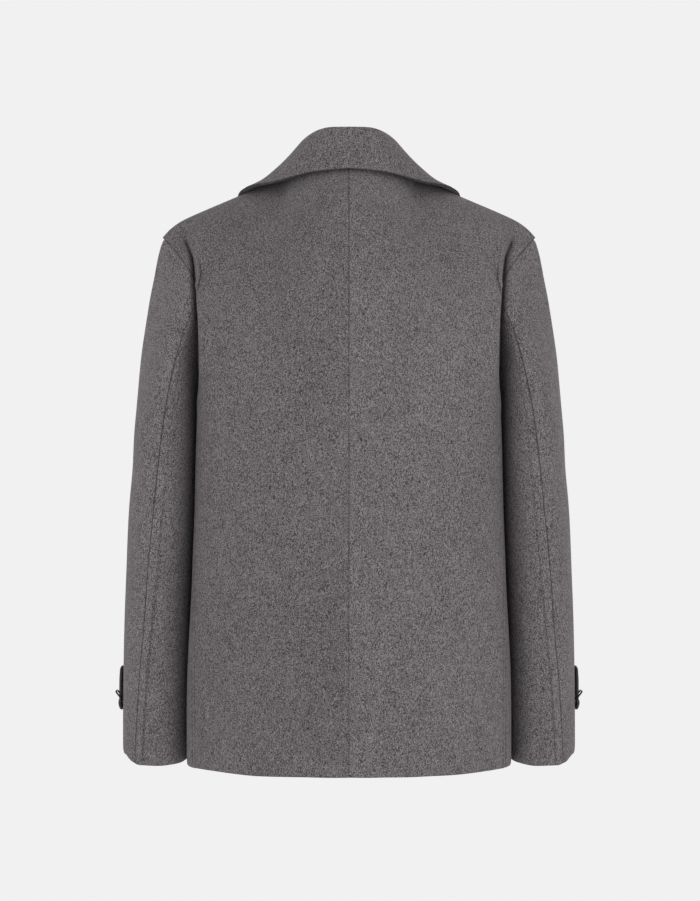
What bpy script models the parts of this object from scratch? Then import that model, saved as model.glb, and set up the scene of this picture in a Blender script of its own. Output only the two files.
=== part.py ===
"""Pea coat: a double-breasted wool coat, hollow and open, in the form it has when it is worn.

Metres, +Z up. The front faces -Y and the wearer's left is +X. The origin lies midway
between the two points where the shoulder seams meet the neckline.
"""

import math

import bpy
import numpy as np

# Cloth
WALL = 0.0024  # wall of the brushed double cloth
COLLAR_WALL = 0.0036  # collar, two layers pressed together
SEAM_GAP = 0.0003  # each flat seam's edges are drawn back this far
CORNER_GAP = 0.0008  # the same at a seam that lies on a bend
SHOULDER_GAP = 0.0013  # the same along the ridge of the shoulder
ARMHOLE_GAP = 0.0030  # the same where the sleeve turns away from the body
ARMPIT_GAP = 0.0060  # the same under the arm, where it turns most

# Heights and half widths of the cut
HEM_Z = -0.735
UNDERARM_Z = -0.262
NECK_POINT = (0.077, 0.0, 0.0)  # where the shoulder seam meets the neckline
SHOULDER_POINT = (0.2325, -0.005, -0.0765)
SHOULDER_SLOPE = -0.4224
SHOULDER_DROP_FROM = 0.195  # past this half width the shoulder rounds down
NECK_BACK = (0.068, 0.006)  # depth and height of the neckline at centre back
FRONT_LAP = 0.070  # how far each front runs past the centre front
BREAK_POINT = (-FRONT_LAP, -0.145, -0.245)  # where the lapel starts to turn back
LAP_LIFT = 0.0042  # how far the left front stands over the right
CHEST_CURVE = 0.8  # how fast the chest falls back above the underarm level

# Tangents of the cloth above the underarm level: x, depth toward the panel's own side, and z
PANEL_LEAVING = (0.0, 0.004, 0.27)
SHOULDER_ARRIVING = (0.0, -0.22, 0.035)
NECK_ARRIVING = (0.0, -0.19, 0.21)
ARMHOLE_LEAVING = (0.026, 0.26, 0.33)
ARMHOLE_ARRIVING = (0.205, -0.256, 0.215)
ROLL_LEAVING_SHARE = (0.4, 0.4, 1.1)  # of the way up to the roll line
ROLL_ARRIVING_SHARE = (0.8, 1.0, 1.0)
BLADE_SPREAD = (0.008, 0.0, 0.0)  # how much the shoulder blade widens the back above the underarm level
ARM_FROM = {"back": 0.78, "front": 0.66}  # share past which the cloth turns in to the armhole

# Shares of a panel's top edge
BACK_NECK_SHARE = 0.40  # centre back to the neck point
FRONT_SHOULDER_SHARE = 0.40  # shoulder point to the neck point

# Rings round the body, hem to underarm
BODY_COLUMNS = ("z", "half_width", "back", "front", "squareness", "arm_hollow", "seam_turn")
BODY_RINGS = (
    (-0.735, 0.2070, 0.143, 0.148, 2.1, 0.0060, 68.5),
    (-0.620, 0.2055, 0.141, 0.147, 2.3, 0.0070, 68.0),
    (-0.500, 0.1985, 0.138, 0.146, 2.5, 0.0090, 73.0),
    (-0.380, 0.1920, 0.136, 0.145, 2.7, 0.0100, 81.0),
    (-0.262, 0.1885, 0.138, 0.145, 2.9, 0.0120, 90.0),
)
HOLLOW_REACH = 0.055  # half height of the bell that hollows each side for the arm

# Rings round the sleeve, cuff to upper arm
SLEEVE_COLUMNS = ("z", "x", "y", "half_x", "half_y", "tilt", "seam_drift")
SLEEVE_RINGS = (
    (-0.727, 0.2425, -0.032, 0.0403, 0.0540, -0.12, 0.092),
    (-0.630, 0.2415, -0.024, 0.0402, 0.0590, -0.06, 0.068),
    (-0.530, 0.2385, -0.016, 0.0403, 0.0650, -0.02, 0.042),
    (-0.430, 0.2340, -0.008, 0.0402, 0.0710, 0.00, 0.024),
    (-0.330, 0.2290, -0.002, 0.0380, 0.0750, 0.00, 0.003),
)
SLEEVE_SQUARENESS = 2.2

COLLAR_ROLL = 0.012  # how roundly the collar turns over
COLLAR_FLARE = (1.30, 1.30, 0.60)  # how its outer edge spreads over the shoulders
# How far the outer edge settles forward onto the body, by share from centre back to front end
COLLAR_REST_COLUMNS = ("share", "forward")
COLLAR_REST = ((0.00, 0.0075), (0.18, 0.0125), (0.36, 0.0240), (0.56, 0.0100), (0.72, 0.0), (1.00, 0.0))
COLLAR_BEND = 1.7  # how much of that settling falls near the edge

# Sections across the collar, centre back to front end: neck seam, roll and outer edge
COLLAR_COLUMNS = ("share", "seam", "roll", "edge")
COLLAR_SECTIONS = (
    (0.00, (0.000, 0.068, 0.008), (0.0000, 0.078, 0.0520), (0.000, 0.087, 0.0025)),
    (0.18, (0.034, 0.061, 0.008), (0.0300, 0.072, 0.0510), (0.045, 0.083, -0.0015)),
    (0.36, (0.063, 0.040, 0.006), (0.0515, 0.047, 0.0425), (0.091, 0.067, -0.0115)),
    (0.56, (0.077, 0.000, 0.004), (0.0625, 0.008, 0.0300), (0.128, 0.022, -0.0168)),
    (0.78, (0.070, -0.040, -0.020), (0.0640, -0.037, 0.0030), (0.141, -0.046, -0.0325)),
    (1.00, (0.052, -0.078, -0.052), (0.0500, -0.084, -0.0350), (0.136, -0.106, -0.0930)),
)

# Lapel, as places on the front panel: share of its width, and rise from hem (0) to top edge (1)
LAPEL_NECK_END = 0.50  # share at which the collar takes over from the lapel
LAPEL_TIP = (0.20, 0.82)
LAPEL_BELLY = 0.16  # how far the outer edge bows away from the roll line
LAPEL_LIFT = 0.0056  # middle of the lapel's wall above the middle of the panel's
UNDER_LAPEL_START = (0.64, 0.48)  # where the right lapel comes out from under the left front

# Buttons
BUTTON_X = 0.055
BUTTON_HEIGHTS = (-0.300, -0.410, -0.520)
BUTTON_SHANK = 0.0014  # thread shank between cloth and button
BUTTON_PROFILE = (
    (0.0000, 0.0022),
    (0.0085, 0.0022),
    (0.0105, 0.0036),
    (0.0125, 0.0040),
    (0.0138, 0.0030),
    (0.0140, 0.0018),
    (0.0125, 0.0000),
    (0.0000, 0.0000),
)

# Pocket welts, as places on the front panel: share and rise of the lower and upper end
WELT_LOW = (0.35, 0.165)
WELT_HIGH = (0.40, 0.335)
WELT_SHARE = 0.085
WELT_LIFT = 0.0034

# Cuff tab, buckle and loop, on the outer side of each sleeve
CUFF_TURN = 0.5
CUFF_GIRTH = 0.31
TAB_ROWS = ((-0.612, 0.0030), (-0.616, 0.0046), (-0.628, 0.0050), (-0.643, 0.0050))
LOOP_ROWS = ((-0.6525, 0.0052), (-0.657, 0.0062), (-0.662, 0.0050), (-0.6645, 0.0031))
TAB_HALF_WIDTH = 0.010
TAB_WALL = 0.0026
BUCKLE_HALF = (0.0135, 0.0066)  # half length round the arm, half height
BUCKLE_WIRE = 0.0011
BUCKLE_AT = (0.2896, -0.6460)  # x and z of its middle
BUCKLE_Y = -0.0255
BUCKLE_TILT = -38.0  # its upper edge leans out from the arm

# Triangles follow from these
BODY_ROWS = 8
YOKE_ROWS = 10
BACK_COLUMNS = 10
FRONT_COLUMNS = 15
SLEEVE_ROWS = 7
CAP_ROWS = 6
COLLAR_STATIONS = 12
STAND_STEPS = 3
FALL_STEPS = 5

WOOL = (0.143, 0.130, 0.135)
LEATHER = (0.012, 0.012, 0.013)
DARK_METAL = (0.16, 0.155, 0.15)
HORN = (0.022, 0.019, 0.018)


def mix(low, high, share):
    return low + (high - low) * share


def smooth(start, stop, value):
    share = np.clip((value - start) / (stop - start), 0.0, 1.0)
    return share * share * (3.0 - 2.0 * share)


def hermite(start, leaving, stop, arriving, share):
    """The cubic from start to stop with these end tangents."""
    square = share * share
    cube = square * share
    return (
        start * (2 * cube - 3 * square + 1)
        + leaving * (cube - 2 * square + share)
        + stop * (3 * square - 2 * cube)
        + arriving * (cube - square)
    )


def read(columns, rows, name, at):
    """A named column of a table, read along a smooth curve through its rows."""
    keys = np.array([row[0] for row in rows])
    values = np.array([row[columns.index(name)] for row in rows])
    slopes = np.gradient(values, keys, axis=0)
    low = int(np.clip(np.searchsorted(keys, at) - 1, 0, len(keys) - 2))
    span = keys[low + 1] - keys[low]
    share = (at - keys[low]) / span
    return hermite(values[low], slopes[low] * span, values[low + 1], slopes[low + 1] * span, share)


def along(points, shares):
    """Points at these shares of the length of a finely drawn line."""
    steps = np.linalg.norm(np.diff(points, axis=0), axis=1)
    length = np.concatenate([[0.0], np.cumsum(steps)])
    return np.stack([np.interp(shares * length[-1], length, points[:, k]) for k in range(3)], axis=1)


def body_line(z):
    """The left half of the ring round the body at height z, centre back to past centre front."""
    turn = np.concatenate([np.linspace(0.0, math.pi, 721), math.pi + np.linspace(0.0, 0.9, 181)[1:]])
    power = 2.0 / read(BODY_COLUMNS, BODY_RINGS, "squareness", z)
    width = read(BODY_COLUMNS, BODY_RINGS, "half_width", z)
    back = read(BODY_COLUMNS, BODY_RINGS, "back", z)
    front = read(BODY_COLUMNS, BODY_RINGS, "front", z)
    hollow = read(BODY_COLUMNS, BODY_RINGS, "arm_hollow", z)
    x = width * np.sign(np.sin(turn)) * np.abs(np.sin(turn)) ** power
    y = np.where(np.cos(turn) > 0, back, front) * np.sign(np.cos(turn)) * np.abs(np.cos(turn)) ** power
    x = x - hollow * np.exp(-((y / HOLLOW_REACH) ** 2)) * smooth(0.0, width, x)
    return turn, np.stack([x, y, np.full_like(x, z)], axis=1)


def body_row(z, side, shares):
    """A row of points on the back (side 'back') or front panel at height z."""
    turn, line = body_line(z)
    seam = np.searchsorted(turn, math.radians(read(BODY_COLUMNS, BODY_RINGS, "seam_turn", z)))
    if side == "back":
        return along(line[: seam + 1], shares)
    edge = np.argmax((line[:, 0] < -FRONT_LAP) & (turn > 3.0))
    return along(line[seam : edge + 1], shares)


def neckline(shares):
    """Back neckline, centre back to neck point: a quarter of an ellipse."""
    turn = shares * math.pi / 2
    depth, height = NECK_BACK
    return np.stack(
        [NECK_POINT[0] * np.sin(turn), depth * np.cos(turn), height * np.cos(turn) ** 2], axis=1
    )


def shoulder(shares):
    """Shoulder seam, neck point to shoulder point, straight and then rounding down."""
    x = mix(NECK_POINT[0], SHOULDER_POINT[0], shares)
    line = SHOULDER_SLOPE * (x - NECK_POINT[0])
    drop = SHOULDER_SLOPE * (SHOULDER_POINT[0] - NECK_POINT[0]) - SHOULDER_POINT[2]
    past = np.clip((x - SHOULDER_DROP_FROM) / (SHOULDER_POINT[0] - SHOULDER_DROP_FROM), 0.0, 1.0)
    return np.stack([x, mix(NECK_POINT[1], SHOULDER_POINT[1], shares), line - drop * past**3], axis=1)


def roll_line(shares):
    """Line where the lapel turns back, neck point to break point, bowed over the chest."""
    start = np.array(NECK_POINT)
    stop = np.array(BREAK_POINT)
    line = start + (stop - start) * shares[:, None]
    line[:, 1] -= 0.030 * np.sin(math.pi * shares ** 0.75)
    return line


def top_edge(side, shares):
    """Top edge of a panel: neckline and shoulder at the back, shoulder and roll line in front."""
    if side == "back":
        in_neck = shares <= BACK_NECK_SHARE
        neck = neckline(np.clip(shares / BACK_NECK_SHARE, 0.0, 1.0))
        rest = shoulder(np.clip((shares - BACK_NECK_SHARE) / (1 - BACK_NECK_SHARE), 0.0, 1.0))
        return np.where(in_neck[:, None], neck, rest)
    in_shoulder = shares <= FRONT_SHOULDER_SHARE
    first = shoulder(1.0 - np.clip(shares / FRONT_SHOULDER_SHARE, 0.0, 1.0))
    rest = roll_line(np.clip((shares - FRONT_SHOULDER_SHARE) / (1 - FRONT_SHOULDER_SHARE), 0.0, 1.0))
    return np.where(in_shoulder[:, None], first, rest)


def yoke(side, shares, rise):
    """The panel from the underarm level (rise 0) to its top edge (rise 1), as rows of points."""
    low = body_row(UNDERARM_Z, side, shares)
    high = top_edge(side, shares)
    turned = np.array([1.0, 1.0 if side == "back" else -1.0, 1.0])
    at_arm = smooth(ARM_FROM[side], 1.0, shares if side == "back" else 1.0 - shares)[:, None]
    leaving = np.tile(turned * PANEL_LEAVING, (len(shares), 1))
    arriving = np.tile(turned * SHOULDER_ARRIVING, (len(shares), 1))
    if side == "back":
        neckwards = 1.0 - smooth(0.05, 0.85, shares)[:, None]
        arriving = mix(arriving, turned * NECK_ARRIVING, neckwards)
    else:
        rollwards = smooth(0.15, 0.75, shares)[:, None]
        arriving = mix(arriving, (high - low) * ROLL_ARRIVING_SHARE, rollwards)
        leaving = mix(leaving, (high - low) * ROLL_LEAVING_SHARE, rollwards)
    leaving = mix(leaving, turned * ARMHOLE_LEAVING, at_arm)
    arriving = mix(arriving, turned * ARMHOLE_ARRIVING, at_arm)
    if side == "back":
        blade = (smooth(0.60, 0.88, shares) * (1.0 - smooth(0.88, 1.0, shares)))[:, None]
        leaving = leaving + blade * BLADE_SPREAD
        arriving = arriving - blade * BLADE_SPREAD
    points = np.array([hermite(low, leaving, high, arriving, share) for share in rise])
    return points if side == "back" else flat_chest(points)


def flat_chest(points):
    """The front with its inner part on one gentle chest curve, which both fronts share."""
    inner = smooth(0.150, 0.085, points[..., 0]) * smooth(-0.03, -0.13, points[..., 2])
    above = points[..., 2] - UNDERARM_Z
    chest = CHEST_CURVE * above**2 - read(BODY_COLUMNS, BODY_RINGS, "front", UNDERARM_Z)
    points[..., 1] = mix(points[..., 1], chest, inner)
    return points


def panel(side, shares, body_rise, yoke_rise):
    """A whole panel of the left half, hem to top edge, as rows of points."""
    heights = mix(HEM_Z, UNDERARM_Z, body_rise)
    below = np.array([body_row(z, side, shares) for z in heights[:-1]])
    return np.concatenate([below, yoke(side, shares, yoke_rise)])


def lapped(points):
    """The front moved out where it stands over the other front."""
    moved = points.copy()
    over = smooth(0.115, 0.080, points[..., 0]) * smooth(-0.03, -0.11, points[..., 2])
    moved[..., 1] -= LAP_LIFT * over
    return moved


def armhole(turns):
    """Points round the armhole: 0 under the arm, 0.25 at the back, 0.5 at the shoulder point."""
    points = []
    for turn in turns:
        side = "back" if turn <= 0.5 else "front"
        rise = 2 * turn if turn <= 0.5 else 2 * (1 - turn)
        edge = np.array([1.0 if side == "back" else 0.0])
        points.append(yoke(side, edge, [rise])[0, 0])
    return np.array(points)


def sleeve_ring(z, turns):
    """Points round the sleeve where its centre is at height z; turns count as for the armhole."""
    centre_x, centre_y, half_x, half_y, tilt, drift = (
        read(SLEEVE_COLUMNS, SLEEVE_RINGS, name, z) for name in SLEEVE_COLUMNS[1:]
    )
    moved = turns + np.where(turns < 0.5, drift * np.sin(2 * math.pi * turns) ** 2, 0.0)
    angle = math.pi * (1 - 2 * moved)
    power = 2.0 / SLEEVE_SQUARENESS
    x = np.sign(np.cos(angle)) * np.abs(np.cos(angle)) ** power * half_x
    y = np.sign(np.sin(angle)) * np.abs(np.sin(angle)) ** power * half_y
    return np.stack([centre_x + x, centre_y + y, z + tilt * y], axis=1)


def sleeve(turns, cap_rise, rise):
    """The sleeve from the armhole (first row) to the cuff (last row)."""
    top = SLEEVE_RINGS[-1][0]
    cuff = SLEEVE_RINGS[0][0]
    start = armhole(turns)
    stop = sleeve_ring(top, turns)
    falling = (stop - sleeve_ring(top - 0.02, turns)) / 0.02
    reach = np.linalg.norm(stop - start, axis=1)[:, None]
    round_arm = 2 * math.pi * turns[:, None]
    leaving = np.concatenate(
        [
            0.045 + 0.020 * np.abs(np.sin(round_arm)),
            0.034 * np.sin(round_arm),
            -0.070 + 0.050 * np.cos(round_arm),
        ],
        axis=1,
    )
    rows = [hermite(start, leaving, stop, -falling * reach, share) for share in cap_rise]
    rows += [sleeve_ring(z, turns) for z in mix(top, cuff, rise[1:])]
    return np.array(rows)


def sheet(name, points, wall, colour, roughness=0.9, metallic=0.0, inset=None):
    """A closed wall of cloth on rows of points, drawn back a little at its four edges."""
    points = drawn_in(points, inset or {})
    rows, columns = points.shape[:2]
    faces = [
        (r * columns + c, r * columns + c + 1, (r + 1) * columns + c + 1, (r + 1) * columns + c)
        for r in range(rows - 1)
        for c in range(columns - 1)
    ]
    mesh = bpy.data.meshes.new(name)
    mesh.from_pydata([tuple(p) for p in points.reshape(-1, 3)], [], faces)
    thing = finished(name, mesh, colour, roughness, metallic)
    solid = thing.modifiers.new("wall", "SOLIDIFY")
    solid.thickness = wall
    solid.offset = 0.0
    solid.use_rim = True
    return thing


def drawn_in(points, inset):
    """The rows of points with each edge moved in by its inset along the cloth."""
    moved = points.copy()
    for edge, here, inner in (
        ("first_row", np.s_[0], np.s_[1]),
        ("last_row", np.s_[-1], np.s_[-2]),
        ("first_column", np.s_[:, 0], np.s_[:, 1]),
        ("last_column", np.s_[:, -1], np.s_[:, -2]),
    ):
        step = moved[inner] - moved[here]
        length = np.linalg.norm(step, axis=-1, keepdims=True)
        moved[here] += step / length * inset.get(edge, SEAM_GAP)
    return moved


def finished(name, mesh, colour, roughness, metallic):
    material = bpy.data.materials.new(name)
    material.use_nodes = True
    shader = material.node_tree.nodes["Principled BSDF"]
    shader.inputs["Base Color"].default_value = (*colour, 1.0)
    shader.inputs["Roughness"].default_value = roughness
    shader.inputs["Metallic"].default_value = metallic
    mesh.materials.append(material)
    if isinstance(mesh, bpy.types.Mesh):
        mesh.shade_smooth()
    thing = bpy.data.objects.new(name, mesh)
    COAT.objects.link(thing)
    return thing


def mirrored(points):
    """The same rows on the wearer's right."""
    return points * [-1.0, 1.0, 1.0]


def shares_of(count):
    return np.linspace(0.0, 1.0, count + 1)


def make_body():
    body_rise = shares_of(BODY_ROWS)
    yoke_rise = shares_of(YOKE_ROWS)
    back = panel("back", shares_of(BACK_COLUMNS), body_rise, yoke_rise)
    front = panel("front", shares_of(FRONT_COLUMNS), body_rise, yoke_rise)
    for piece, left, right in (("back", back, back), ("front", lapped(front), front)):
        side_seam = "last_column" if piece == "back" else "first_column"
        inset = {side_seam: CORNER_GAP, "last_row": SHOULDER_GAP}
        sheet(piece + "_left", left, WALL, WOOL, inset=inset)
        sheet(piece + "_right", mirrored(right), WALL, WOOL, inset=inset)


def make_sleeves():
    turns = shares_of(2 * YOKE_ROWS)
    whole = sleeve(turns, shares_of(CAP_ROWS), shares_of(SLEEVE_ROWS))
    hind = YOKE_ROWS // 2
    fore = 2 * YOKE_ROWS - hind
    top = whole[:, hind : fore + 1]
    under = np.concatenate([whole[:, fore:-1], whole[:, : hind + 1]], axis=1)
    for piece, points, gap in (
        ("top_sleeve", top, ARMHOLE_GAP),
        ("under_sleeve", under, ARMPIT_GAP),
    ):
        inset = {"first_row": gap, "first_column": CORNER_GAP, "last_column": CORNER_GAP}
        sheet(piece + "_left", points, WALL, WOOL, inset=inset)
        sheet(piece + "_right", mirrored(points), WALL, WOOL, inset=inset)


def outward(points, across, up):
    """Unit vectors square to the cloth at each point, from the steps across and up it."""
    square = np.cross(up, across)
    return square / np.linalg.norm(square, axis=-1, keepdims=True)


def on_panel(grid, shares, rises, lift):
    """Points of a finely drawn panel at these places, moved out from it by lift."""
    rows, columns = grid.shape[:2]
    normal = outward(grid, np.gradient(grid, axis=1), np.gradient(grid, axis=0))
    row = np.clip(rises, 0.0, 1.0) * (rows - 1)
    column = np.clip(shares, 0.0, 1.0) * (columns - 1)
    r = np.minimum(row.astype(int), rows - 2)
    c = np.minimum(column.astype(int), columns - 2)
    fr = (row - r)[..., None]
    fc = (column - c)[..., None]
    lifted = grid + normal * lift
    low = mix(lifted[r, c], lifted[r, c + 1], fc)
    high = mix(lifted[r + 1, c], lifted[r + 1, c + 1], fc)
    return mix(low, high, fr)


def lapel_places(start, counts):
    """Share and rise of each point of a lapel, from its break (row 0) to its gorge (last row)."""
    across = shares_of(counts[1])[None, :]
    run = shares_of(counts[0])[:, None]
    run = mix(mix(start[0], start[1], across), 1.0, run)
    roll_share = mix(1.0, LAPEL_NECK_END, run)
    edge_share = mix(1.0, LAPEL_TIP[0], run)
    edge_rise = mix(1.0, LAPEL_TIP[1], run) - LAPEL_BELLY * 4 * run * (1 - run)
    return mix(roll_share, edge_share, across), mix(1.0, edge_rise, across)


def make_lapels():
    front = panel("front", shares_of(120), shares_of(60), shares_of(60))
    left_places = lapel_places((0.05, 0.05), (12, 8))
    right_places = lapel_places(UNDER_LAPEL_START, (9, 8))
    sheet("lapel_left", on_panel(lapped(front), *left_places, LAPEL_LIFT), WALL, WOOL)
    sheet("lapel_right", mirrored(on_panel(front, *right_places, LAPEL_LIFT)), WALL, WOOL)


def make_pockets():
    front = panel("front", shares_of(120), shares_of(60), shares_of(60))
    along_welt = shares_of(5)[:, None]
    across = shares_of(2)[None, :]
    share = mix(WELT_LOW[0], WELT_HIGH[0], along_welt) + WELT_SHARE * across
    rise = mix(WELT_LOW[1], WELT_HIGH[1], along_welt) + 0.0 * across
    points = on_panel(front, share, rise, WELT_LIFT)
    sheet("pocket_welt_left", points, WALL, WOOL)
    sheet("pocket_welt_right", mirrored(points), WALL, WOOL)


def make_collar():
    half = []
    for share in shares_of(COLLAR_STATIONS // 2):
        seam, roll, edge = (
            read(COLLAR_COLUMNS, COLLAR_SECTIONS, name, share) for name in COLLAR_COLUMNS[1:]
        )
        out = (edge - roll) * [1.0, 1.0, 0.0]
        out = out / np.linalg.norm(out) * COLLAR_ROLL
        spread = (edge - roll) * COLLAR_FLARE
        stand = [hermite(seam, roll - seam, roll, out, step) for step in shares_of(STAND_STEPS)]
        rest = np.array([0.0, -read(COLLAR_REST_COLUMNS, COLLAR_REST, "forward", share), 0.0])
        fall = [
            hermite(roll, out, edge, spread, step) + rest * step**COLLAR_BEND for step in shares_of(FALL_STEPS)
        ]
        half.append(stand + fall[1:])
    half = np.array(half).transpose(1, 0, 2)
    whole = np.concatenate([mirrored(half)[:, :0:-1], half], axis=1)
    sheet("collar", whole, COLLAR_WALL, WOOL)


def turned(name, profile, colour, roughness, place):
    """A round solid from its profile, facing -Y, with its back at this place."""
    mesh = bpy.data.meshes.new(name)
    points = [(radius, 0.0, height) for radius, height in profile]
    mesh.from_pydata(points, [(i, i + 1) for i in range(len(points) - 1)], [])
    thing = finished(name, mesh, colour, roughness, 0.0)
    screw = thing.modifiers.new("turn", "SCREW")
    screw.steps = 24
    screw.render_steps = 24
    screw.use_merge_vertices = True
    screw.merge_threshold = 0.0001
    thing.rotation_euler = (math.pi / 2, 0.0, 0.0)
    thing.location = place
    return thing


def make_buttons():
    number = 0
    for height in BUTTON_HEIGHTS:
        row = lapped(body_row(height, "front", shares_of(400)))
        for x in (BUTTON_X, -BUTTON_X):
            number += 1
            nearest = row[np.argmin(np.abs(row[:, 0] - x))]
            place = (x, nearest[1] - WALL / 2 - BUTTON_SHANK, height)
            turned("button_" + str(number), BUTTON_PROFILE, HORN, 0.35, place)


def cuff_piece(rows, half_width):
    """Rows of points on the outer side of the left sleeve, each row at its height and lift."""
    turns = CUFF_TURN + np.linspace(-half_width, half_width, 5) / CUFF_GIRTH
    points = []
    for height, lift in rows:
        ring = sleeve_ring(height, turns)
        across = np.gradient(ring, axis=0)
        up = ring - sleeve_ring(height - 0.01, turns)
        points.append(ring + outward(ring, across, up) * lift)
    return np.array(points)


def buckle(name, side):
    """A small wire frame with round corners."""
    long, tall = BUCKLE_HALF
    curve = bpy.data.curves.new(name, "CURVE")
    curve.dimensions = "3D"
    curve.bevel_depth = BUCKLE_WIRE
    curve.bevel_resolution = 2
    line = curve.splines.new("POLY")
    line.use_cyclic_u = True
    round_at = []
    for k in range(24):
        turn = 2 * math.pi * k / 24
        c = math.cos(turn)
        d = math.sin(turn)
        round_at.append((math.copysign(abs(c) ** 0.35, c) * long, math.copysign(abs(d) ** 0.35, d) * tall))
    line.points.add(len(round_at) - 1)
    tilt = math.radians(BUCKLE_TILT)
    for point, (y, z) in zip(line.points, round_at):
        x = BUCKLE_AT[0] - z * math.sin(tilt)
        point.co = (side * x, BUCKLE_Y + y, BUCKLE_AT[1] + z * math.cos(tilt), 1.0)
    return finished(name, curve, DARK_METAL, 0.3, 1.0)


def make_cuffs():
    for name, rows in (("cuff_tab", TAB_ROWS), ("cuff_loop", LOOP_ROWS)):
        points = cuff_piece(rows, TAB_HALF_WIDTH)
        sheet(name + "_left", points, TAB_WALL, LEATHER, 0.5)
        sheet(name + "_right", mirrored(points), TAB_WALL, LEATHER, 0.5)
    buckle("cuff_buckle_left", 1.0)
    buckle("cuff_buckle_right", -1.0)


for old in list(bpy.data.objects):
    bpy.data.objects.remove(old)
COAT = bpy.data.collections.new("pea_coat")
bpy.context.scene.collection.children.link(COAT)
make_body()
make_sleeves()
make_collar()
make_lapels()
make_pockets()
make_buttons()
make_cuffs()
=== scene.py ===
"""The looks of a grey melange wool pea coat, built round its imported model.

Metres, +Z up, front -Y.
"""

import math

import bpy
import numpy as np
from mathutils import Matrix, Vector


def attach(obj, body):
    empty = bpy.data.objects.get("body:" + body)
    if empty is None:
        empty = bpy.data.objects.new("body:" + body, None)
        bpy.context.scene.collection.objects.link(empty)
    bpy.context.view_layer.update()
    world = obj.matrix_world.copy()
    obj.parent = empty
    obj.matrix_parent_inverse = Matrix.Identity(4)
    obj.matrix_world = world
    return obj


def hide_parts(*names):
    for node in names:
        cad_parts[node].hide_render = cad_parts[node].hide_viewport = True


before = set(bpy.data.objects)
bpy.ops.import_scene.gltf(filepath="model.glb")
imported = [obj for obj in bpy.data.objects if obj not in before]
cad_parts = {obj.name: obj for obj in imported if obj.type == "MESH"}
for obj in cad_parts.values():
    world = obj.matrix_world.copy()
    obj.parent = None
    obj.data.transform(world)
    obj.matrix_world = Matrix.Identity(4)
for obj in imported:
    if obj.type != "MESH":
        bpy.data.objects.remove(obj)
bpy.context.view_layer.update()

# ---- the coat's cut
WALL = 0.0024
COLLAR_WALL = 0.0036
HEM_Z = -0.735
UNDERARM_Z = -0.262
NECK_POINT = (0.077, 0.0, 0.0)
SHOULDER_POINT = (0.2325, -0.005, -0.0765)
SHOULDER_SLOPE = -0.4224
SHOULDER_DROP_FROM = 0.195
NECK_BACK = (0.068, 0.006)
FRONT_LAP = 0.070
BREAK_POINT = (-FRONT_LAP, -0.145, -0.245)
LAP_LIFT = 0.0042
CHEST_CURVE = 0.8
# Tangents of the cloth above the underarm level: x, depth toward the panel's own side, and z
PANEL_LEAVING = (0.0, 0.004, 0.27)
SHOULDER_ARRIVING = (0.0, -0.22, 0.035)
NECK_ARRIVING = (0.0, -0.19, 0.21)
ARMHOLE_LEAVING = (0.026, 0.26, 0.33)
ARMHOLE_ARRIVING = (0.205, -0.256, 0.215)
ROLL_LEAVING_SHARE = (0.4, 0.4, 1.1)  # of the way up to the roll line
ROLL_ARRIVING_SHARE = (0.8, 1.0, 1.0)
BLADE_SPREAD = (0.008, 0.0, 0.0)  # how much the shoulder blade widens the back above that level
ARM_FROM = {"back": 0.78, "front": 0.66}  # share past which the cloth turns in to the armhole
BACK_NECK_SHARE = 0.40
FRONT_SHOULDER_SHARE = 0.40

# Rings round the body, hem to underarm
BODY_COLUMNS = ("z", "half_width", "back", "front", "squareness", "arm_hollow", "seam_turn")
BODY_RINGS = (
    (-0.735, 0.2070, 0.143, 0.148, 2.1, 0.0060, 68.5),
    (-0.620, 0.2055, 0.141, 0.147, 2.3, 0.0070, 68.0),
    (-0.500, 0.1985, 0.138, 0.146, 2.5, 0.0090, 73.0),
    (-0.380, 0.1920, 0.136, 0.145, 2.7, 0.0100, 81.0),
    (-0.262, 0.1885, 0.138, 0.145, 2.9, 0.0120, 90.0),
)
HOLLOW_REACH = 0.055  # half height of the bell that hollows each side for the arm

# Rings round the sleeve, cuff to upper arm
SLEEVE_COLUMNS = ("z", "x", "y", "half_x", "half_y", "tilt", "seam_drift")
SLEEVE_RINGS = (
    (-0.727, 0.2425, -0.032, 0.0403, 0.0540, -0.12, 0.092),
    (-0.630, 0.2415, -0.024, 0.0402, 0.0590, -0.06, 0.068),
    (-0.530, 0.2385, -0.016, 0.0403, 0.0650, -0.02, 0.042),
    (-0.430, 0.2340, -0.008, 0.0402, 0.0710, 0.00, 0.024),
    (-0.330, 0.2290, -0.002, 0.0380, 0.0750, 0.00, 0.003),
)
SLEEVE_SQUARENESS = 2.2

COLLAR_ROLL = 0.012  # how roundly the collar turns over
COLLAR_FLARE = (1.30, 1.30, 0.60)  # how its outer edge spreads over the shoulders
# How far the outer edge settles forward onto the body, by share from centre back to front end
COLLAR_REST_COLUMNS = ("share", "forward")
COLLAR_REST = (
    (0.00, 0.0075), (0.18, 0.0125), (0.36, 0.0240), (0.56, 0.0100), (0.72, 0.0), (1.00, 0.0),
)
COLLAR_BEND = 1.7  # how much of that settling falls near the edge

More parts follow.
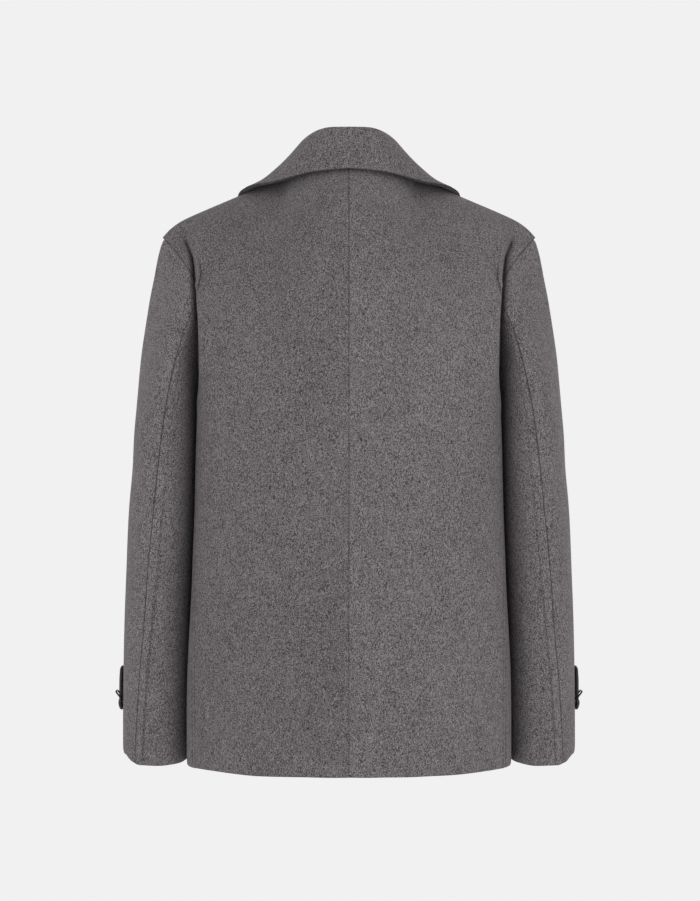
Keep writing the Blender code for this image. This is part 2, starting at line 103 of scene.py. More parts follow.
# Sections across the collar, centre back to front end: neck seam, roll and outer edge
COLLAR_COLUMNS = ("share", "seam", "roll", "edge")
COLLAR_SECTIONS = (
    (0.00, (0.000, 0.068, 0.008), (0.0000, 0.078, 0.0520), (0.000, 0.087, 0.0025)),
    (0.18, (0.034, 0.061, 0.008), (0.0300, 0.072, 0.0510), (0.045, 0.083, -0.0015)),
    (0.36, (0.063, 0.040, 0.006), (0.0515, 0.047, 0.0425), (0.091, 0.067, -0.0115)),
    (0.56, (0.077, 0.000, 0.004), (0.0625, 0.008, 0.0300), (0.128, 0.022, -0.0168)),
    (0.78, (0.070, -0.040, -0.020), (0.0640, -0.037, 0.0030), (0.141, -0.046, -0.0325)),
    (1.00, (0.052, -0.078, -0.052), (0.0500, -0.084, -0.0350), (0.136, -0.106, -0.0930)),
)

# Lapel, as places on the front panel: share of its width, and rise from hem (0) to top edge (1)
LAPEL_NECK_END = 0.50  # share at which the collar takes over from the lapel
LAPEL_TIP = (0.20, 0.82)
LAPEL_BELLY = 0.16  # how far the outer edge bows away from the roll line
LAPEL_LIFT = 0.0056  # middle of the lapel's wall above the middle of the panel's
UNDER_LAPEL_START = (0.64, 0.48)  # where the right lapel comes out from under the left front

# Buttons
BUTTON_X = 0.055
BUTTON_HEIGHTS = (-0.300, -0.410, -0.520)
BUTTON_SHANK = 0.0014  # thread shank between cloth and button

# Pocket welts, as places on the front panel: share and rise of the lower and upper end
WELT_LOW = (0.35, 0.165)
WELT_HIGH = (0.40, 0.335)
WELT_SHARE = 0.085
WELT_LIFT = 0.0034

# Cuff tab, buckle and loop, on the outer side of each sleeve
CUFF_TURN = 0.5
CUFF_GIRTH = 0.31
TAB_ROWS = ((-0.612, 0.0030), (-0.616, 0.0046), (-0.628, 0.0050), (-0.643, 0.0050))
LOOP_ROWS = ((-0.6525, 0.0052), (-0.657, 0.0062), (-0.662, 0.0050), (-0.6645, 0.0031))
TAB_HALF_WIDTH = 0.010
BUCKLE_HALF = (0.0135, 0.0066)  # half length round the arm, half height
BUCKLE_WIRE = 0.0011
BUCKLE_AT = (0.2896, -0.6460)  # x and z of its middle
BUCKLE_Y = -0.0255
BUCKLE_TILT = -38.0  # its upper edge leans out from the arm

# ---- shapes that the pieces share
def mix(low, high, share):
    return low + (high - low) * share


def smooth(start, stop, value):
    share = np.clip((value - start) / (stop - start), 0.0, 1.0)
    return share * share * (3.0 - 2.0 * share)


def powered(value, power):
    """A sine or cosine raised to a power with its sign kept, which squares a ring's corners."""
    return np.sign(value) * np.abs(value) ** power


def hermite(start, leaving, stop, arriving, share):
    """The cubic from start to stop with these end tangents."""
    square = share * share
    cube = square * share
    return (
        start * (2 * cube - 3 * square + 1)
        + leaving * (cube - 2 * square + share)
        + stop * (3 * square - 2 * cube)
        + arriving * (cube - square)
    )


def read(columns, rows, name, at):
    """A named column of a table, read along a smooth curve through its rows."""
    keys = np.array([row[0] for row in rows])
    values = np.array([row[columns.index(name)] for row in rows])
    slopes = np.gradient(values, keys, axis=0)
    low = int(np.clip(np.searchsorted(keys, at) - 1, 0, len(keys) - 2))
    span = keys[low + 1] - keys[low]
    share = (at - keys[low]) / span
    return hermite(values[low], slopes[low] * span, values[low + 1], slopes[low + 1] * span, share)


def lengths_along(line):
    """How far each point of a line is from its start, along it."""
    steps = np.linalg.norm(np.diff(line, axis=0), axis=1)
    return np.concatenate([[0.0], np.cumsum(steps)])


def along(points, shares):
    """Points at these shares of the length of a finely drawn line."""
    length = lengths_along(points)
    at = shares * length[-1]
    return np.stack([np.interp(at, length, points[:, k]) for k in range(3)], axis=1)


def body_line(z):
    """The left half of the ring round the body at height z, centre back to past centre front."""
    half = np.linspace(0.0, math.pi, 721)
    turn = np.concatenate([half, math.pi + np.linspace(0.0, 0.9, 181)[1:]])
    power = 2.0 / read(BODY_COLUMNS, BODY_RINGS, "squareness", z)
    width = read(BODY_COLUMNS, BODY_RINGS, "half_width", z)
    back = read(BODY_COLUMNS, BODY_RINGS, "back", z)
    front = read(BODY_COLUMNS, BODY_RINGS, "front", z)
    hollow = read(BODY_COLUMNS, BODY_RINGS, "arm_hollow", z)
    x = width * powered(np.sin(turn), power)
    y = np.where(np.cos(turn) > 0, back, front) * powered(np.cos(turn), power)
    x = x - hollow * np.exp(-((y / HOLLOW_REACH) ** 2)) * smooth(0.0, width, x)
    return turn, np.stack([x, y, np.full_like(x, z)], axis=1)


def body_row(z, side, shares):
    """A row of points on the back (side 'back') or front panel at height z."""
    turn, line = body_line(z)
    seam = np.searchsorted(turn, math.radians(read(BODY_COLUMNS, BODY_RINGS, "seam_turn", z)))
    if side == "back":
        return along(line[: seam + 1], shares)
    edge = np.argmax((line[:, 0] < -FRONT_LAP) & (turn > 3.0))
    return along(line[seam : edge + 1], shares)


def neckline(shares):
    """Back neckline, centre back to neck point: a quarter of an ellipse."""
    turn = shares * math.pi / 2
    depth, height = NECK_BACK
    return np.stack(
        [NECK_POINT[0] * np.sin(turn), depth * np.cos(turn), height * np.cos(turn) ** 2], axis=1
    )


def shoulder(shares):
    """Shoulder seam, neck point to shoulder point, straight and then rounding down."""
    x = mix(NECK_POINT[0], SHOULDER_POINT[0], shares)
    line = SHOULDER_SLOPE * (x - NECK_POINT[0])
    drop = SHOULDER_SLOPE * (SHOULDER_POINT[0] - NECK_POINT[0]) - SHOULDER_POINT[2]
    past = np.clip((x - SHOULDER_DROP_FROM) / (SHOULDER_POINT[0] - SHOULDER_DROP_FROM), 0.0, 1.0)
    y = mix(NECK_POINT[1], SHOULDER_POINT[1], shares)
    return np.stack([x, y, line - drop * past**3], axis=1)


def roll_line(shares):
    """Line where the lapel turns back, neck point to break point, bowed over the chest."""
    start = np.array(NECK_POINT)
    stop = np.array(BREAK_POINT)
    line = start + (stop - start) * shares[:, None]
    line[:, 1] -= 0.030 * np.sin(math.pi * shares ** 0.75)
    return line


def top_edge(side, shares):
    """Top edge of a panel: neckline and shoulder at the back, shoulder and roll line in front."""
    limit = BACK_NECK_SHARE if side == "back" else FRONT_SHOULDER_SHARE
    before = np.clip(shares / limit, 0.0, 1.0)
    after = np.clip((shares - limit) / (1 - limit), 0.0, 1.0)
    if side == "back":
        first, second = neckline(before), shoulder(after)
    else:
        first, second = shoulder(1.0 - before), roll_line(after)
    return np.where((shares <= limit)[:, None], first, second)


def yoke(side, shares, rise):
    """The panel from the underarm level (rise 0) to its top edge (rise 1), as rows of points."""
    low = body_row(UNDERARM_Z, side, shares)
    high = top_edge(side, shares)
    turned = np.array([1.0, 1.0 if side == "back" else -1.0, 1.0])
    at_arm = smooth(ARM_FROM[side], 1.0, shares if side == "back" else 1.0 - shares)[:, None]
    leaving = np.tile(turned * PANEL_LEAVING, (len(shares), 1))
    arriving = np.tile(turned * SHOULDER_ARRIVING, (len(shares), 1))
    if side == "back":
        neckwards = 1.0 - smooth(0.05, 0.85, shares)[:, None]
        arriving = mix(arriving, turned * NECK_ARRIVING, neckwards)
    else:
        rollwards = smooth(0.15, 0.75, shares)[:, None]
        arriving = mix(arriving, (high - low) * ROLL_ARRIVING_SHARE, rollwards)
        leaving = mix(leaving, (high - low) * ROLL_LEAVING_SHARE, rollwards)
    leaving = mix(leaving, turned * ARMHOLE_LEAVING, at_arm)
    arriving = mix(arriving, turned * ARMHOLE_ARRIVING, at_arm)
    if side == "back":
        blade = (smooth(0.60, 0.88, shares) * (1.0 - smooth(0.88, 1.0, shares)))[:, None]
        leaving = leaving + blade * BLADE_SPREAD
        arriving = arriving - blade * BLADE_SPREAD
    points = np.array([hermite(low, leaving, high, arriving, share) for share in rise])
    return points if side == "back" else flat_chest(points)


def flat_chest(points):
    """The front with its inner part on one gentle chest curve, which both fronts share."""
    inner = smooth(0.150, 0.085, points[..., 0]) * smooth(-0.03, -0.13, points[..., 2])
    above = points[..., 2] - UNDERARM_Z
    chest = CHEST_CURVE * above**2 - read(BODY_COLUMNS, BODY_RINGS, "front", UNDERARM_Z)
    points[..., 1] = mix(points[..., 1], chest, inner)
    return points


def panel(side, shares, body_rise, yoke_rise):
    """A whole panel of the left half, hem to top edge, as rows of points."""
    heights = mix(HEM_Z, UNDERARM_Z, body_rise)
    below = np.array([body_row(z, side, shares) for z in heights[:-1]])
    return np.concatenate([below, yoke(side, shares, yoke_rise)])


def lapped(points):
    """The front moved out where it stands over the other front."""
    moved = points.copy()
    over = smooth(0.115, 0.080, points[..., 0]) * smooth(-0.03, -0.11, points[..., 2])
    moved[..., 1] -= LAP_LIFT * over
    return moved


def armhole(turns):
    """Points round the armhole: 0 under the arm, 0.25 at the back, 0.5 at the shoulder point."""
    points = []
    for turn in turns:
        side = "back" if turn <= 0.5 else "front"
        rise = 2 * turn if turn <= 0.5 else 2 * (1 - turn)
        edge = np.array([1.0 if side == "back" else 0.0])
        points.append(yoke(side, edge, [rise])[0, 0])
    return np.array(points)


def sleeve_ring(z, turns):
    """Points round the sleeve where its centre is at height z; turns count as for the armhole."""
    centre_x, centre_y, half_x, half_y, tilt, drift = (
        read(SLEEVE_COLUMNS, SLEEVE_RINGS, name, z) for name in SLEEVE_COLUMNS[1:]
    )
    moved = turns + np.where(turns < 0.5, drift * np.sin(2 * math.pi * turns) ** 2, 0.0)
    angle = math.pi * (1 - 2 * moved)
    power = 2.0 / SLEEVE_SQUARENESS
    x = powered(np.cos(angle), power) * half_x
    y = powered(np.sin(angle), power) * half_y
    return np.stack([centre_x + x, centre_y + y, z + tilt * y], axis=1)


def sleeve(turns, cap_rise, rise):
    """The sleeve from the armhole (first row) to the cuff (last row)."""
    top = SLEEVE_RINGS[-1][0]
    cuff = SLEEVE_RINGS[0][0]
    start = armhole(turns)
    stop = sleeve_ring(top, turns)
    falling = (stop - sleeve_ring(top - 0.02, turns)) / 0.02
    reach = np.linalg.norm(stop - start, axis=1)[:, None]
    round_arm = 2 * math.pi * turns[:, None]
    leaving = np.concatenate(
        [
            0.045 + 0.020 * np.abs(np.sin(round_arm)),
            0.034 * np.sin(round_arm),
            -0.070 + 0.050 * np.cos(round_arm),
        ],
        axis=1,
    )
    rows = [hermite(start, leaving, stop, -falling * reach, share) for share in cap_rise]
    rows += [sleeve_ring(z, turns) for z in mix(top, cuff, rise[1:])]
    return np.array(rows)


SIDES = (("_left", False), ("_right", True))


def mirrored(points):
    """The same rows on the wearer's right."""
    return points * [-1.0, 1.0, 1.0]


def shares_of(count):
    return np.linspace(0.0, 1.0, count + 1)


def outward(across, up):
    """Unit vectors square to the cloth, from the steps across and up it."""
    square = np.cross(up, across)
    return square / np.linalg.norm(square, axis=-1, keepdims=True)


def facing(grid):
    """Unit vectors square to the cloth at each point of its rows."""
    return outward(np.gradient(grid, axis=1), np.gradient(grid, axis=0))


def on_panel(grid, shares, rises, lift):
    """Points of a finely drawn panel at these places, moved out from it by lift."""
    rows, columns = grid.shape[:2]
    normal = facing(grid)
    row = np.clip(rises, 0.0, 1.0) * (rows - 1)
    column = np.clip(shares, 0.0, 1.0) * (columns - 1)
    r = np.minimum(row.astype(int), rows - 2)
    c = np.minimum(column.astype(int), columns - 2)
    fr = (row - r)[..., None]
    fc = (column - c)[..., None]
    lifted = grid + normal * lift
    low = mix(lifted[r, c], lifted[r, c + 1], fc)
    high = mix(lifted[r + 1, c], lifted[r + 1, c + 1], fc)
    return mix(low, high, fr)


# ---- cloth shells
EDGE_MARKS = (0.0, 0.0002, 0.0006, 0.0012, 0.0020, 0.0032)
STITCH = 0.009  # topstitching runs this far from its seam or edge
STITCH_MARKS = (0.0050, 0.0072, 0.0082, STITCH, 0.0098, 0.0108, 0.0130)
# Finer steps where the arm folds the back, and where the sleeve rolls into that fold
FOLD_MARKS = tuple(0.0142 + 0.0012 * k for k in range(21))
CAP_MARKS = tuple(0.0044 + 0.0012 * k for k in range(12))
CLOTH_STEP = 0.0045
YOKE_HEIGHT = 0.27


def graded(width, step, start=(), stop=()):
    """Distances across a piece: even steps, closer together at its edges and stitch lines."""
    first = np.array(start) if start else np.array([0.0])
    last = width - np.array(stop)[::-1] if stop else np.array([width])
    count = max(2, round((last[0] - first[-1]) / step))
    return np.concatenate([first[:-1], np.linspace(first[-1], last[0], count + 1), last[1:]])


def bell(value, centre, width):
    return np.exp(-(((value - centre) / width) ** 2))


def table(at, rows):
    """A value read along straight lines between (key, value) rows."""
    keys, values = np.array(sorted(rows)).T
    return np.interp(at, keys, values)


def ripple(at, seed, wavelength, count=5):
    """A gentle wander between about -1 and 1, the same on every run."""
    random = np.random.default_rng(seed)
    total = np.zeros_like(at)
    for _ in range(count):
        length = wavelength * random.uniform(0.6, 1.8)
        size = random.uniform(0.4, 1.0)
        total += size * np.sin(2 * math.pi * at / length + random.uniform(0, 6.3))
    return total / count


def shell(name, points, across, up, wall, right, drape=None, dent=None, tone=None, layers=1,
          crisp=(1.0, 1.0, 1.0, 1.0)):
    """A sheet of cloth with rounded edges on rows of points.

    across and up are distances along the rows and from row to row. drape moves the whole
    cloth out, and dent only its outer face. crisp narrows the rounding at the first and last
    column and the first and last row. The mesh keeps each point's nearness to an edge, which the
    wool darkens as painted shade, and its tone, which holds tone patches and painted shade.
    """
    square = facing(points)
    if drape is not None:
        points = points + square * drape[..., None]
        square = facing(points)
    side = np.minimum((across - across[0]) * crisp[0], (across[-1] - across) * crisp[1])[None, :]
    end = np.minimum((up - up[0]) * crisp[2], (up[-1] - up) * crisp[3])[:, None]
    edge = np.minimum(side, end)
    radius = wall / 2 / layers
    swell = np.sqrt(np.clip(1 - (1 - np.clip(edge, 0, radius) / radius) ** 2, 0.0025, 1.0))
    surface = np.zeros_like(edge) if dent is None else dent
    shade = np.ones_like(edge) if tone is None else tone
    verts = []
    faces = []
    for layer in range(layers):
        middle = radius * (layers - 1 - 2 * layer)
        out = middle + radius * swell + (surface if layer == 0 else 0.0)
        top = points + square * out[..., None]
        low = points + square * (middle - radius * swell)[..., None]
        faces.append(wall_faces(points.shape[0], points.shape[1]) + 2 * layer * edge.size)
        verts += [top.reshape(-1, 3), low.reshape(-1, 3)]
        if layer == 0:
            outer = top
    verts = np.concatenate(verts)
    faces = np.concatenate(faces)
    if right:
        verts, outer, square = mirrored(verts), mirrored(outer), mirrored(square)
        faces = faces[:, ::-1]
    thing = solid(name, verts.tolist(), faces.tolist())
    for key, value in (("edge", edge), ("tone", shade)):
        values = np.tile(value.ravel(), 2 * layers)
        thing.data.attributes.new(key, "FLOAT", "POINT").data.foreach_set("value", values)
    return thing, outer, square


def solid(name, verts, faces):
    mesh = bpy.data.meshes.new(name)
    mesh.from_pydata(verts, [], faces)
    mesh.shade_smooth()
    thing = bpy.data.objects.new(name, mesh)
    bpy.context.scene.collection.objects.link(thing)
    return thing


def band_faces(rings, sides, base=0, closed=False):
    """Quads from each ring of points to the next, and from the last to the first if closed."""
    faces = []
    for r in range(rings if closed else rings - 1):
        low = base + r * sides
        high = base + (r + 1) % rings * sides
        for s in range(sides):
            t = (s + 1) % sides
            faces.append((low + s, low + t, high + t, high + s))
    return faces


def cap(sides, base=0):
    return tuple(base + s for s in range(sides))


def wall_faces(rows, columns):
    """Quads of the outer face, the inner face and the rim of a wall of rows by columns points."""
    index = np.arange(rows * columns).reshape(rows, columns)
    quads = [index[:-1, :-1], index[1:, :-1], index[1:, 1:], index[:-1, 1:]]
    quads = np.stack(quads, axis=-1).reshape(-1, 4)
    inner = quads[:, ::-1] + rows * columns
    rim = np.concatenate([index[0], index[1:, -1], index[-1, -2::-1], index[-2:0:-1, 0]])
    after = np.roll(rim, -1)
    band = np.stack([rim, after, after + rows * columns, rim + rows * columns], axis=-1)
    return np.concatenate([quads, inner, band])


def settle(thing, replaced, material):
    """Puts a finished piece on the coat in place of its solid."""
    thing.data.materials.append(material)
    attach(thing, "root")
    if replaced:
        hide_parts(*replaced)
    return thing


def wool_piece(name, points, across, up, right, wall=WALL, **form):
    """A shell of wool in place of the solid of this name, and its outer face and directions."""
    thing, outer, square = shell(name + "_cloth", points, across, up, wall, right, **form)
    return settle(thing, (name,), WOOL), outer, square


def nearest(values, wanted):
    return np.argmin(np.abs(values - wanted))


# ---- stitching
STITCH_PITCH = 0.0036
STITCH_LENGTH = 0.0027
STITCH_SINK = 0.00014  # how far a stitch lies in the nap
THREAD_RADIUS = 0.00026
# One stitch: share of its length, size and rise, both counted in thread radii
THREAD_RINGS = (
    (0.0, 0.35, -0.9), (0.2, 1.0, 0.0), (0.5, 1.0, 0.25), (0.8, 1.0, 0.0), (1.0, 0.35, -0.9),
)
THREAD_SIDES = 6


def stitches_along(line, square, pitch=STITCH_PITCH, length=STITCH_LENGTH, sink=STITCH_SINK):
    """The start, stop and outward direction of each stitch of a row along a line on the cloth."""
    reach = lengths_along(line)

    def read_at(at, values):
        return np.array([np.interp(at, reach, values[:, i]) for i in range(3)])

    found = []
    for k in range(int(reach[-1] / pitch)):
        out = read_at(k * pitch, square)
        start, stop = read_at(k * pitch, line), read_at(k * pitch + length, line)
        found.append((start, stop, out / np.linalg.norm(out), sink))
    return found


def make_stitches(name, runs, material, radius=THREAD_RADIUS):
    """Stitches as one mesh of short threads that sink into the cloth at both ends."""
    verts = []
    faces = []
    for start, stop, out, sink in runs:
        run = stop - start
        aside = np.cross(run, out)
        aside = aside / np.linalg.norm(aside)
        base = len(verts)
        for share, size, rise in THREAD_RINGS:
            centre = start + run * share + out * (rise * radius - sink)
            for s in range(THREAD_SIDES):
                turn = 2 * math.pi * s / THREAD_SIDES
                around = aside * math.cos(turn) + out * math.sin(turn)
                verts.append(tuple(centre + around * radius * size))
        faces += band_faces(len(THREAD_RINGS), THREAD_SIDES, base)
        faces.append(cap(THREAD_SIDES, base)[::-1])
        faces.append(cap(THREAD_SIDES, base + (len(THREAD_RINGS) - 1) * THREAD_SIDES))
    return settle(solid(name, verts, faces), (), material)


STITCHED = []  # every row of topstitching, gathered while the cloth is made


def sew(outer, square, where):
    """Adds a row of topstitching along these points of a piece."""
    STITCHED.extend(stitches_along(outer[where], square[where]))


# ---- materials
def new_material(name):
    material = bpy.data.materials.new(name)
    material.use_nodes = True
    tree = material.node_tree
    return material, tree, tree.nodes["Principled BSDF"]


def node(tree, kind, inputs=None, **settings):
    made = tree.nodes.new("ShaderNode" + kind)
    for key, value in settings.items():
        setattr(made, key, value)
    for key, value in (inputs or {}).items():
        if isinstance(value, bpy.types.NodeSocket):
            tree.links.new(value, made.inputs[key])
        else:
            made.inputs[key].default_value = value
    return made


def maths(tree, operation, a, b=0.0, c=0.0):
    return node(tree, "Math", {0: a, 1: b, 2: c}, operation=operation).outputs[0]


def noise(tree, place, scale, detail, roughness, stretch, turn):
    mapping = node(tree, "Mapping", {"Vector": place, "Scale": stretch, "Rotation": turn})
    inputs = {"Scale": scale, "Detail": detail, "Roughness": roughness}
    return node(tree, "TexNoise", {"Vector": mapping.outputs[0], **inputs}).outputs["Fac"]


def ramp(tree, value, low, low_colour, high, high_colour):
    made = node(tree, "ValToRGB", {"Fac": value})
    made.color_ramp.elements[0].position = low
    made.color_ramp.elements[0].color = (*low_colour, 1.0)
    made.color_ramp.elements[1].position = high
    made.color_ramp.elements[1].color = (*high_colour, 1.0)
    return made.outputs["Color"]


def spread(tree, value, low, high, to_low, to_high):
    inputs = {0: value, 1: low, 2: high, 3: to_low, 4: to_high}
    return node(tree, "MapRange", inputs).outputs[0]


# Noises of the wool: scale, detail, roughness, stretch and turn
WOOL_NOISES = (
    (1050.0, 1.5, 0.6, (1.0, 1.0, 0.72), (0.0, 0.0, 0.0)),  # fleck: single pale and dark fibres
    (620.0, 2.0, 0.55, (1.0, 1.0, 0.42), (0.0, 0.25, 0.0)),  # streak: their run down the cloth
    (95.0, 3.0, 0.6, (1.0, 1.0, 0.55), (0.0, 0.5, 0.0)),  # cloud: unevenness of the brushing
    (16.0, 2.0, 0.5, (1.0, 1.0, 0.45), (0.0, 0.75, 0.0)),  # drift: unevenness of a whole panel
    (1500.0, 2.0, 0.6, (1.0, 1.0, 0.5), (0.0, 0.0, 0.0)),  # fibre: the raised nap
)
FLECK_PART = 0.75
STREAK_PART = 0.25
CLOUD_PART = 0.070
DRIFT_PART = 0.034
WOOL_DEEP = (0.0260, 0.0232, 0.0248)
WOOL_PALE = (0.2720, 0.2490, 0.2590)
WOOL_RANGE = (0.384, 0.638)  # mixed noise at which the wool is darkest and palest
# Painted shade: the wool's colour is darkened to this share at a cut edge or seam, where the groove
# lies in shadow, and fades back over the reach below
EDGE_PAINTED_SHADE = 0.45  # shade of the cloth at a cut edge or seam
EDGE_PAINTED_SHADE_REACH = 0.0014


def wool_material(name):
    """Brushed melange wool: dark and pale fibres about a millimetre long, mostly upright."""
    material, tree, shader = new_material(name)
    place = node(tree, "TexCoord").outputs["Object"]
    fleck, streak, cloud, drift, fibre = (noise(tree, place, *row) for row in WOOL_NOISES)
    mixed = maths(tree, "MULTIPLY", streak, STREAK_PART)
    mixed = maths(tree, "MULTIPLY_ADD", fleck, FLECK_PART, mixed)
    for wander, part in ((cloud, CLOUD_PART), (drift, DRIFT_PART)):
        mixed = maths(tree, "SUBTRACT", mixed, part / 2)
        mixed = maths(tree, "MULTIPLY_ADD", wander, part, mixed)
    colour = ramp(tree, mixed, WOOL_RANGE[0], WOOL_DEEP, WOOL_RANGE[1], WOOL_PALE)
    edge, tone = (
        node(tree, "Attribute", attribute_name=kept, attribute_type="GEOMETRY")
        for kept in ("edge", "tone")
    )
    edge, tone = edge.outputs["Fac"], tone.outputs["Fac"]
    # Painted shade: the colour darkens towards cut edges and seams, and is scaled by the tone
    # attribute, which also holds painted shade and highlight
    shade = maths(tree, "MULTIPLY", spread(tree, edge, 0.0, EDGE_PAINTED_SHADE_REACH, EDGE_PAINTED_SHADE, 1.0), tone)
    shaded = node(tree, "VectorMath", {0: colour}, operation="SCALE")
    tree.links.new(shade, shaded.inputs["Scale"])
    tree.links.new(shaded.outputs[0], shader.inputs["Base Color"])
    height = maths(tree, "MULTIPLY_ADD", streak, 0.5, maths(tree, "MULTIPLY", fibre, 0.6))
    bump = node(tree, "Bump", {"Height": height, "Strength": 0.7, "Distance": 0.0008})
    tree.links.new(bump.outputs[0], shader.inputs["Normal"])
    for key, value in (
        ("Roughness", 0.95),
        ("Specular IOR Level", 0.10),
        ("Sheen Weight", 0.12),
        ("Sheen Roughness", 0.5),
        ("Sheen Tint", (0.62, 0.60, 0.61, 1.0)),
    ):
        shader.inputs[key].default_value = value
    return material


def plain_material(name, scale, low_colour, high_colour, rough, stretch=(1.0, 1.0, 1.0), bump=0.0,
                   gloss=0.5):
    """A dark material whose tone and gloss wander with one noise."""
    material, tree, shader = new_material(name)
    place = node(tree, "TexCoord").outputs["Object"]
    grain = noise(tree, place, scale, 4.0, 0.6, stretch, (0.0, 0.5, 0.0))
    colour = ramp(tree, grain, 0.32, low_colour, 0.70, high_colour)
    tree.links.new(colour, shader.inputs["Base Color"])
    tree.links.new(spread(tree, grain, 0.3, 0.7, rough[0], rough[1]), shader.inputs["Roughness"])
    shader.inputs["Specular IOR Level"].default_value = gloss
    if bump:
        cells = node(tree, "TexVoronoi", {"Vector": place, "Scale": 1000.0})
        pores = {"Height": cells.outputs["Distance"], "Strength": bump, "Distance": 0.0003}
        made = node(tree, "Bump", pores)
        tree.links.new(made.outputs[0], shader.inputs["Normal"])
    return material


WOOL = wool_material("melange_wool")
# Each of these: grain scale, darkest and palest colour, and roughness where dark and where pale
THREAD = plain_material(
    "thread", 1500.0, (0.030, 0.027, 0.029), (0.066, 0.060, 0.063), (0.55, 0.75)
)
LEATHER = plain_material(
    "black_leather", 120.0, (0.005, 0.005, 0.0055), (0.016, 0.015, 0.015), (0.36, 0.56), bump=0.35
)
METAL = plain_material(
    "gunmetal", 400.0, (0.010, 0.010, 0.010), (0.030, 0.029, 0.028), (0.34, 0.50), gloss=0.22
)
HORN = plain_material(
    "dark_horn", 90.0, (0.009, 0.007, 0.007), (0.048, 0.039, 0.034), (0.22, 0.38),
    stretch=(1.0, 1.0, 4.0),
)

# ---- creases, tone patches and painted shade
# Soft troughs (depth below 0) and ridges: x, z, lean from upright, half length, half width, depth
BACK_CREASES = (
    (0.060, -0.170, 38.0, 0.100, 0.030, -0.0014),
    (0.110, -0.215, 30.0, 0.090, 0.026, 0.0010),
    (0.155, -0.165, 10.0, 0.060, 0.016, -0.0014),
    (0.040, -0.400, 20.0, 0.150, 0.034, -0.0013),
    (0.120, -0.470, -8.0, 0.190, 0.040, 0.0015),
    (0.070, -0.620, 10.0, 0.130, 0.028, -0.0015),
    (0.165, -0.640, 3.0, 0.130, 0.016, -0.0012),
)
FRONT_CREASES = (
    (0.130, -0.190, -22.0, 0.090, 0.022, -0.0018),
    (0.150, -0.300, -12.0, 0.110, 0.020, 0.0014),
    (0.100, -0.560, 6.0, 0.150, 0.030, -0.0016),
    (0.155, -0.640, 3.0, 0.120, 0.022, 0.0014),
)
SLEEVE_CREASES = (
    (0.215, -0.165, 32.0, 0.060, 0.014, -0.0014),
    (0.245, -0.250, 20.0, 0.080, 0.018, 0.0010),
    (0.225, -0.330, -28.0, 0.050, 0.013, -0.0016),
    (0.255, -0.390, 24.0, 0.060, 0.015, -0.0014),
    (0.235, -0.470, -18.0, 0.070, 0.016, 0.0014),
    (0.250, -0.560, 14.0, 0.080, 0.014, -0.0012),
    (0.230, -0.640, -6.0, 0.080, 0.014, -0.0012),
)
# Darker and paler strokes on the back's colour: side (1 left, -1 right), then a stroke as above and
# its amount. The two across the yoke are painted shade, darkening the top of the back where the
# light from above falls most.
BACK_TONES_AND_PAINTED_SHADE = (
    (1, 0.150, -0.090, 30.0, 0.060, 0.050, -0.03),
    (1, 0.060, -0.200, 35.0, 0.130, 0.040, -0.03),
    (1, 0.050, -0.590, 0.0, 0.150, 0.060, -0.05),
    # painted shade: these two strokes across the yoke darken the top of the back, which the light
    # from above lights most
    (1, 0.120, -0.060, 80.0, 0.130, 0.050, -0.07),
    (-1, 0.120, -0.060, 80.0, 0.130, 0.050, -0.08),
    (1, 0.090, -0.620, 0.0, 0.100, 0.090, -0.02),
    (-1, 0.110, -0.270, 0.0, 0.150, 0.060, 0.03),
)
BACK_SHADE = {1: 0.94, -1: 1.015}
SLEEVE_SHADE = 1.03
# Painted shade: the whole collar's colour darkened by this share, for the light from above that
# falls on it
COLLAR_PAINTED_SHADE = 0.93


def stroke(points, x, z, lean, length, width):
    """A soft stroke on the cloth: 1 along its middle, falling to 0 at its ends and sides."""
    turn = math.radians(lean)
    dx = points[..., 0] - x
    dz = points[..., 2] - z
    run = dz * math.cos(turn) + dx * math.sin(turn)
    aside = dx * math.cos(turn) - dz * math.sin(turn)
    return np.exp(-((run / length) ** 2) - (aside / width) ** 2)


def creased(points, rows):
    """The sum of these strokes, each times the last number of its row."""
    return sum(row[-1] * stroke(points, *row[:-1]) for row in rows)


SEAM_SWELL = 0.00045
STITCH_PULL = 0.00060
PRESSED_IN = 0.0010


def seam_relief(distance, stitched, strength=1.0):
    """Outer face beside a seam: allowances swell it a little, and stitching pulls a line down."""
    swell = SEAM_SWELL * smooth(0.0008, 0.0030, distance) * (1 - smooth(0.0078, 0.0115, distance))
    if not stitched:
        return swell * 0.5 * strength
    return (swell - STITCH_PULL * bell(distance, STITCH, 0.0008)) * strength


def stitch_painted_shade(distance):
    """Painted shade in the groove that a line of stitches pulls down, and a painted highlight on
    the allowance beside it.
    """
    ridge = smooth(0.001, 0.003, distance) * (1 - smooth(0.0070, 0.0085, distance))
    return 0.03 * ridge - 0.24 * bell(distance, STITCH, 0.0010)


def pressed(up):
    """How far a pressed hem turns in at its very edge."""
    return PRESSED_IN * np.exp(-(up / 0.005))[:, None]


# ---- body
# Each table below goes by height: (z, metres). Where the back folds over towards the arm, as a half
# width, and how far it drops there
FOLD_AT = (
    (-0.056, 0.2090), (-0.068, 0.2030), (-0.080, 0.1965), (-0.094, 0.1915), (-0.110, 0.1870),
    (-0.127, 0.1850),
)
FOLD_DROP = (
    (-0.058, 0.0), (-0.064, 0.0015), (-0.072, 0.0050), (-0.082, 0.0070), (-0.112, 0.0060),
    (-0.135, 0.0),
)
# How far the shoulder blade's edge stands out to the side, and how full it is behind
BLADE_OUT = (
    (-0.080, 0.0), (-0.125, 0.0015), (-0.150, 0.0080), (-0.170, 0.0145), (-0.190, 0.0190),
    (-0.210, 0.0185), (-0.235, 0.0130), (-0.265, 0.0045), (-0.300, 0.0),
)
BLADE_FULL = (
    (-0.075, 0.0), (-0.100, 0.0020), (-0.140, 0.0050), (-0.190, 0.0055), (-0.230, 0.0030),
    (-0.290, 0.0),
)
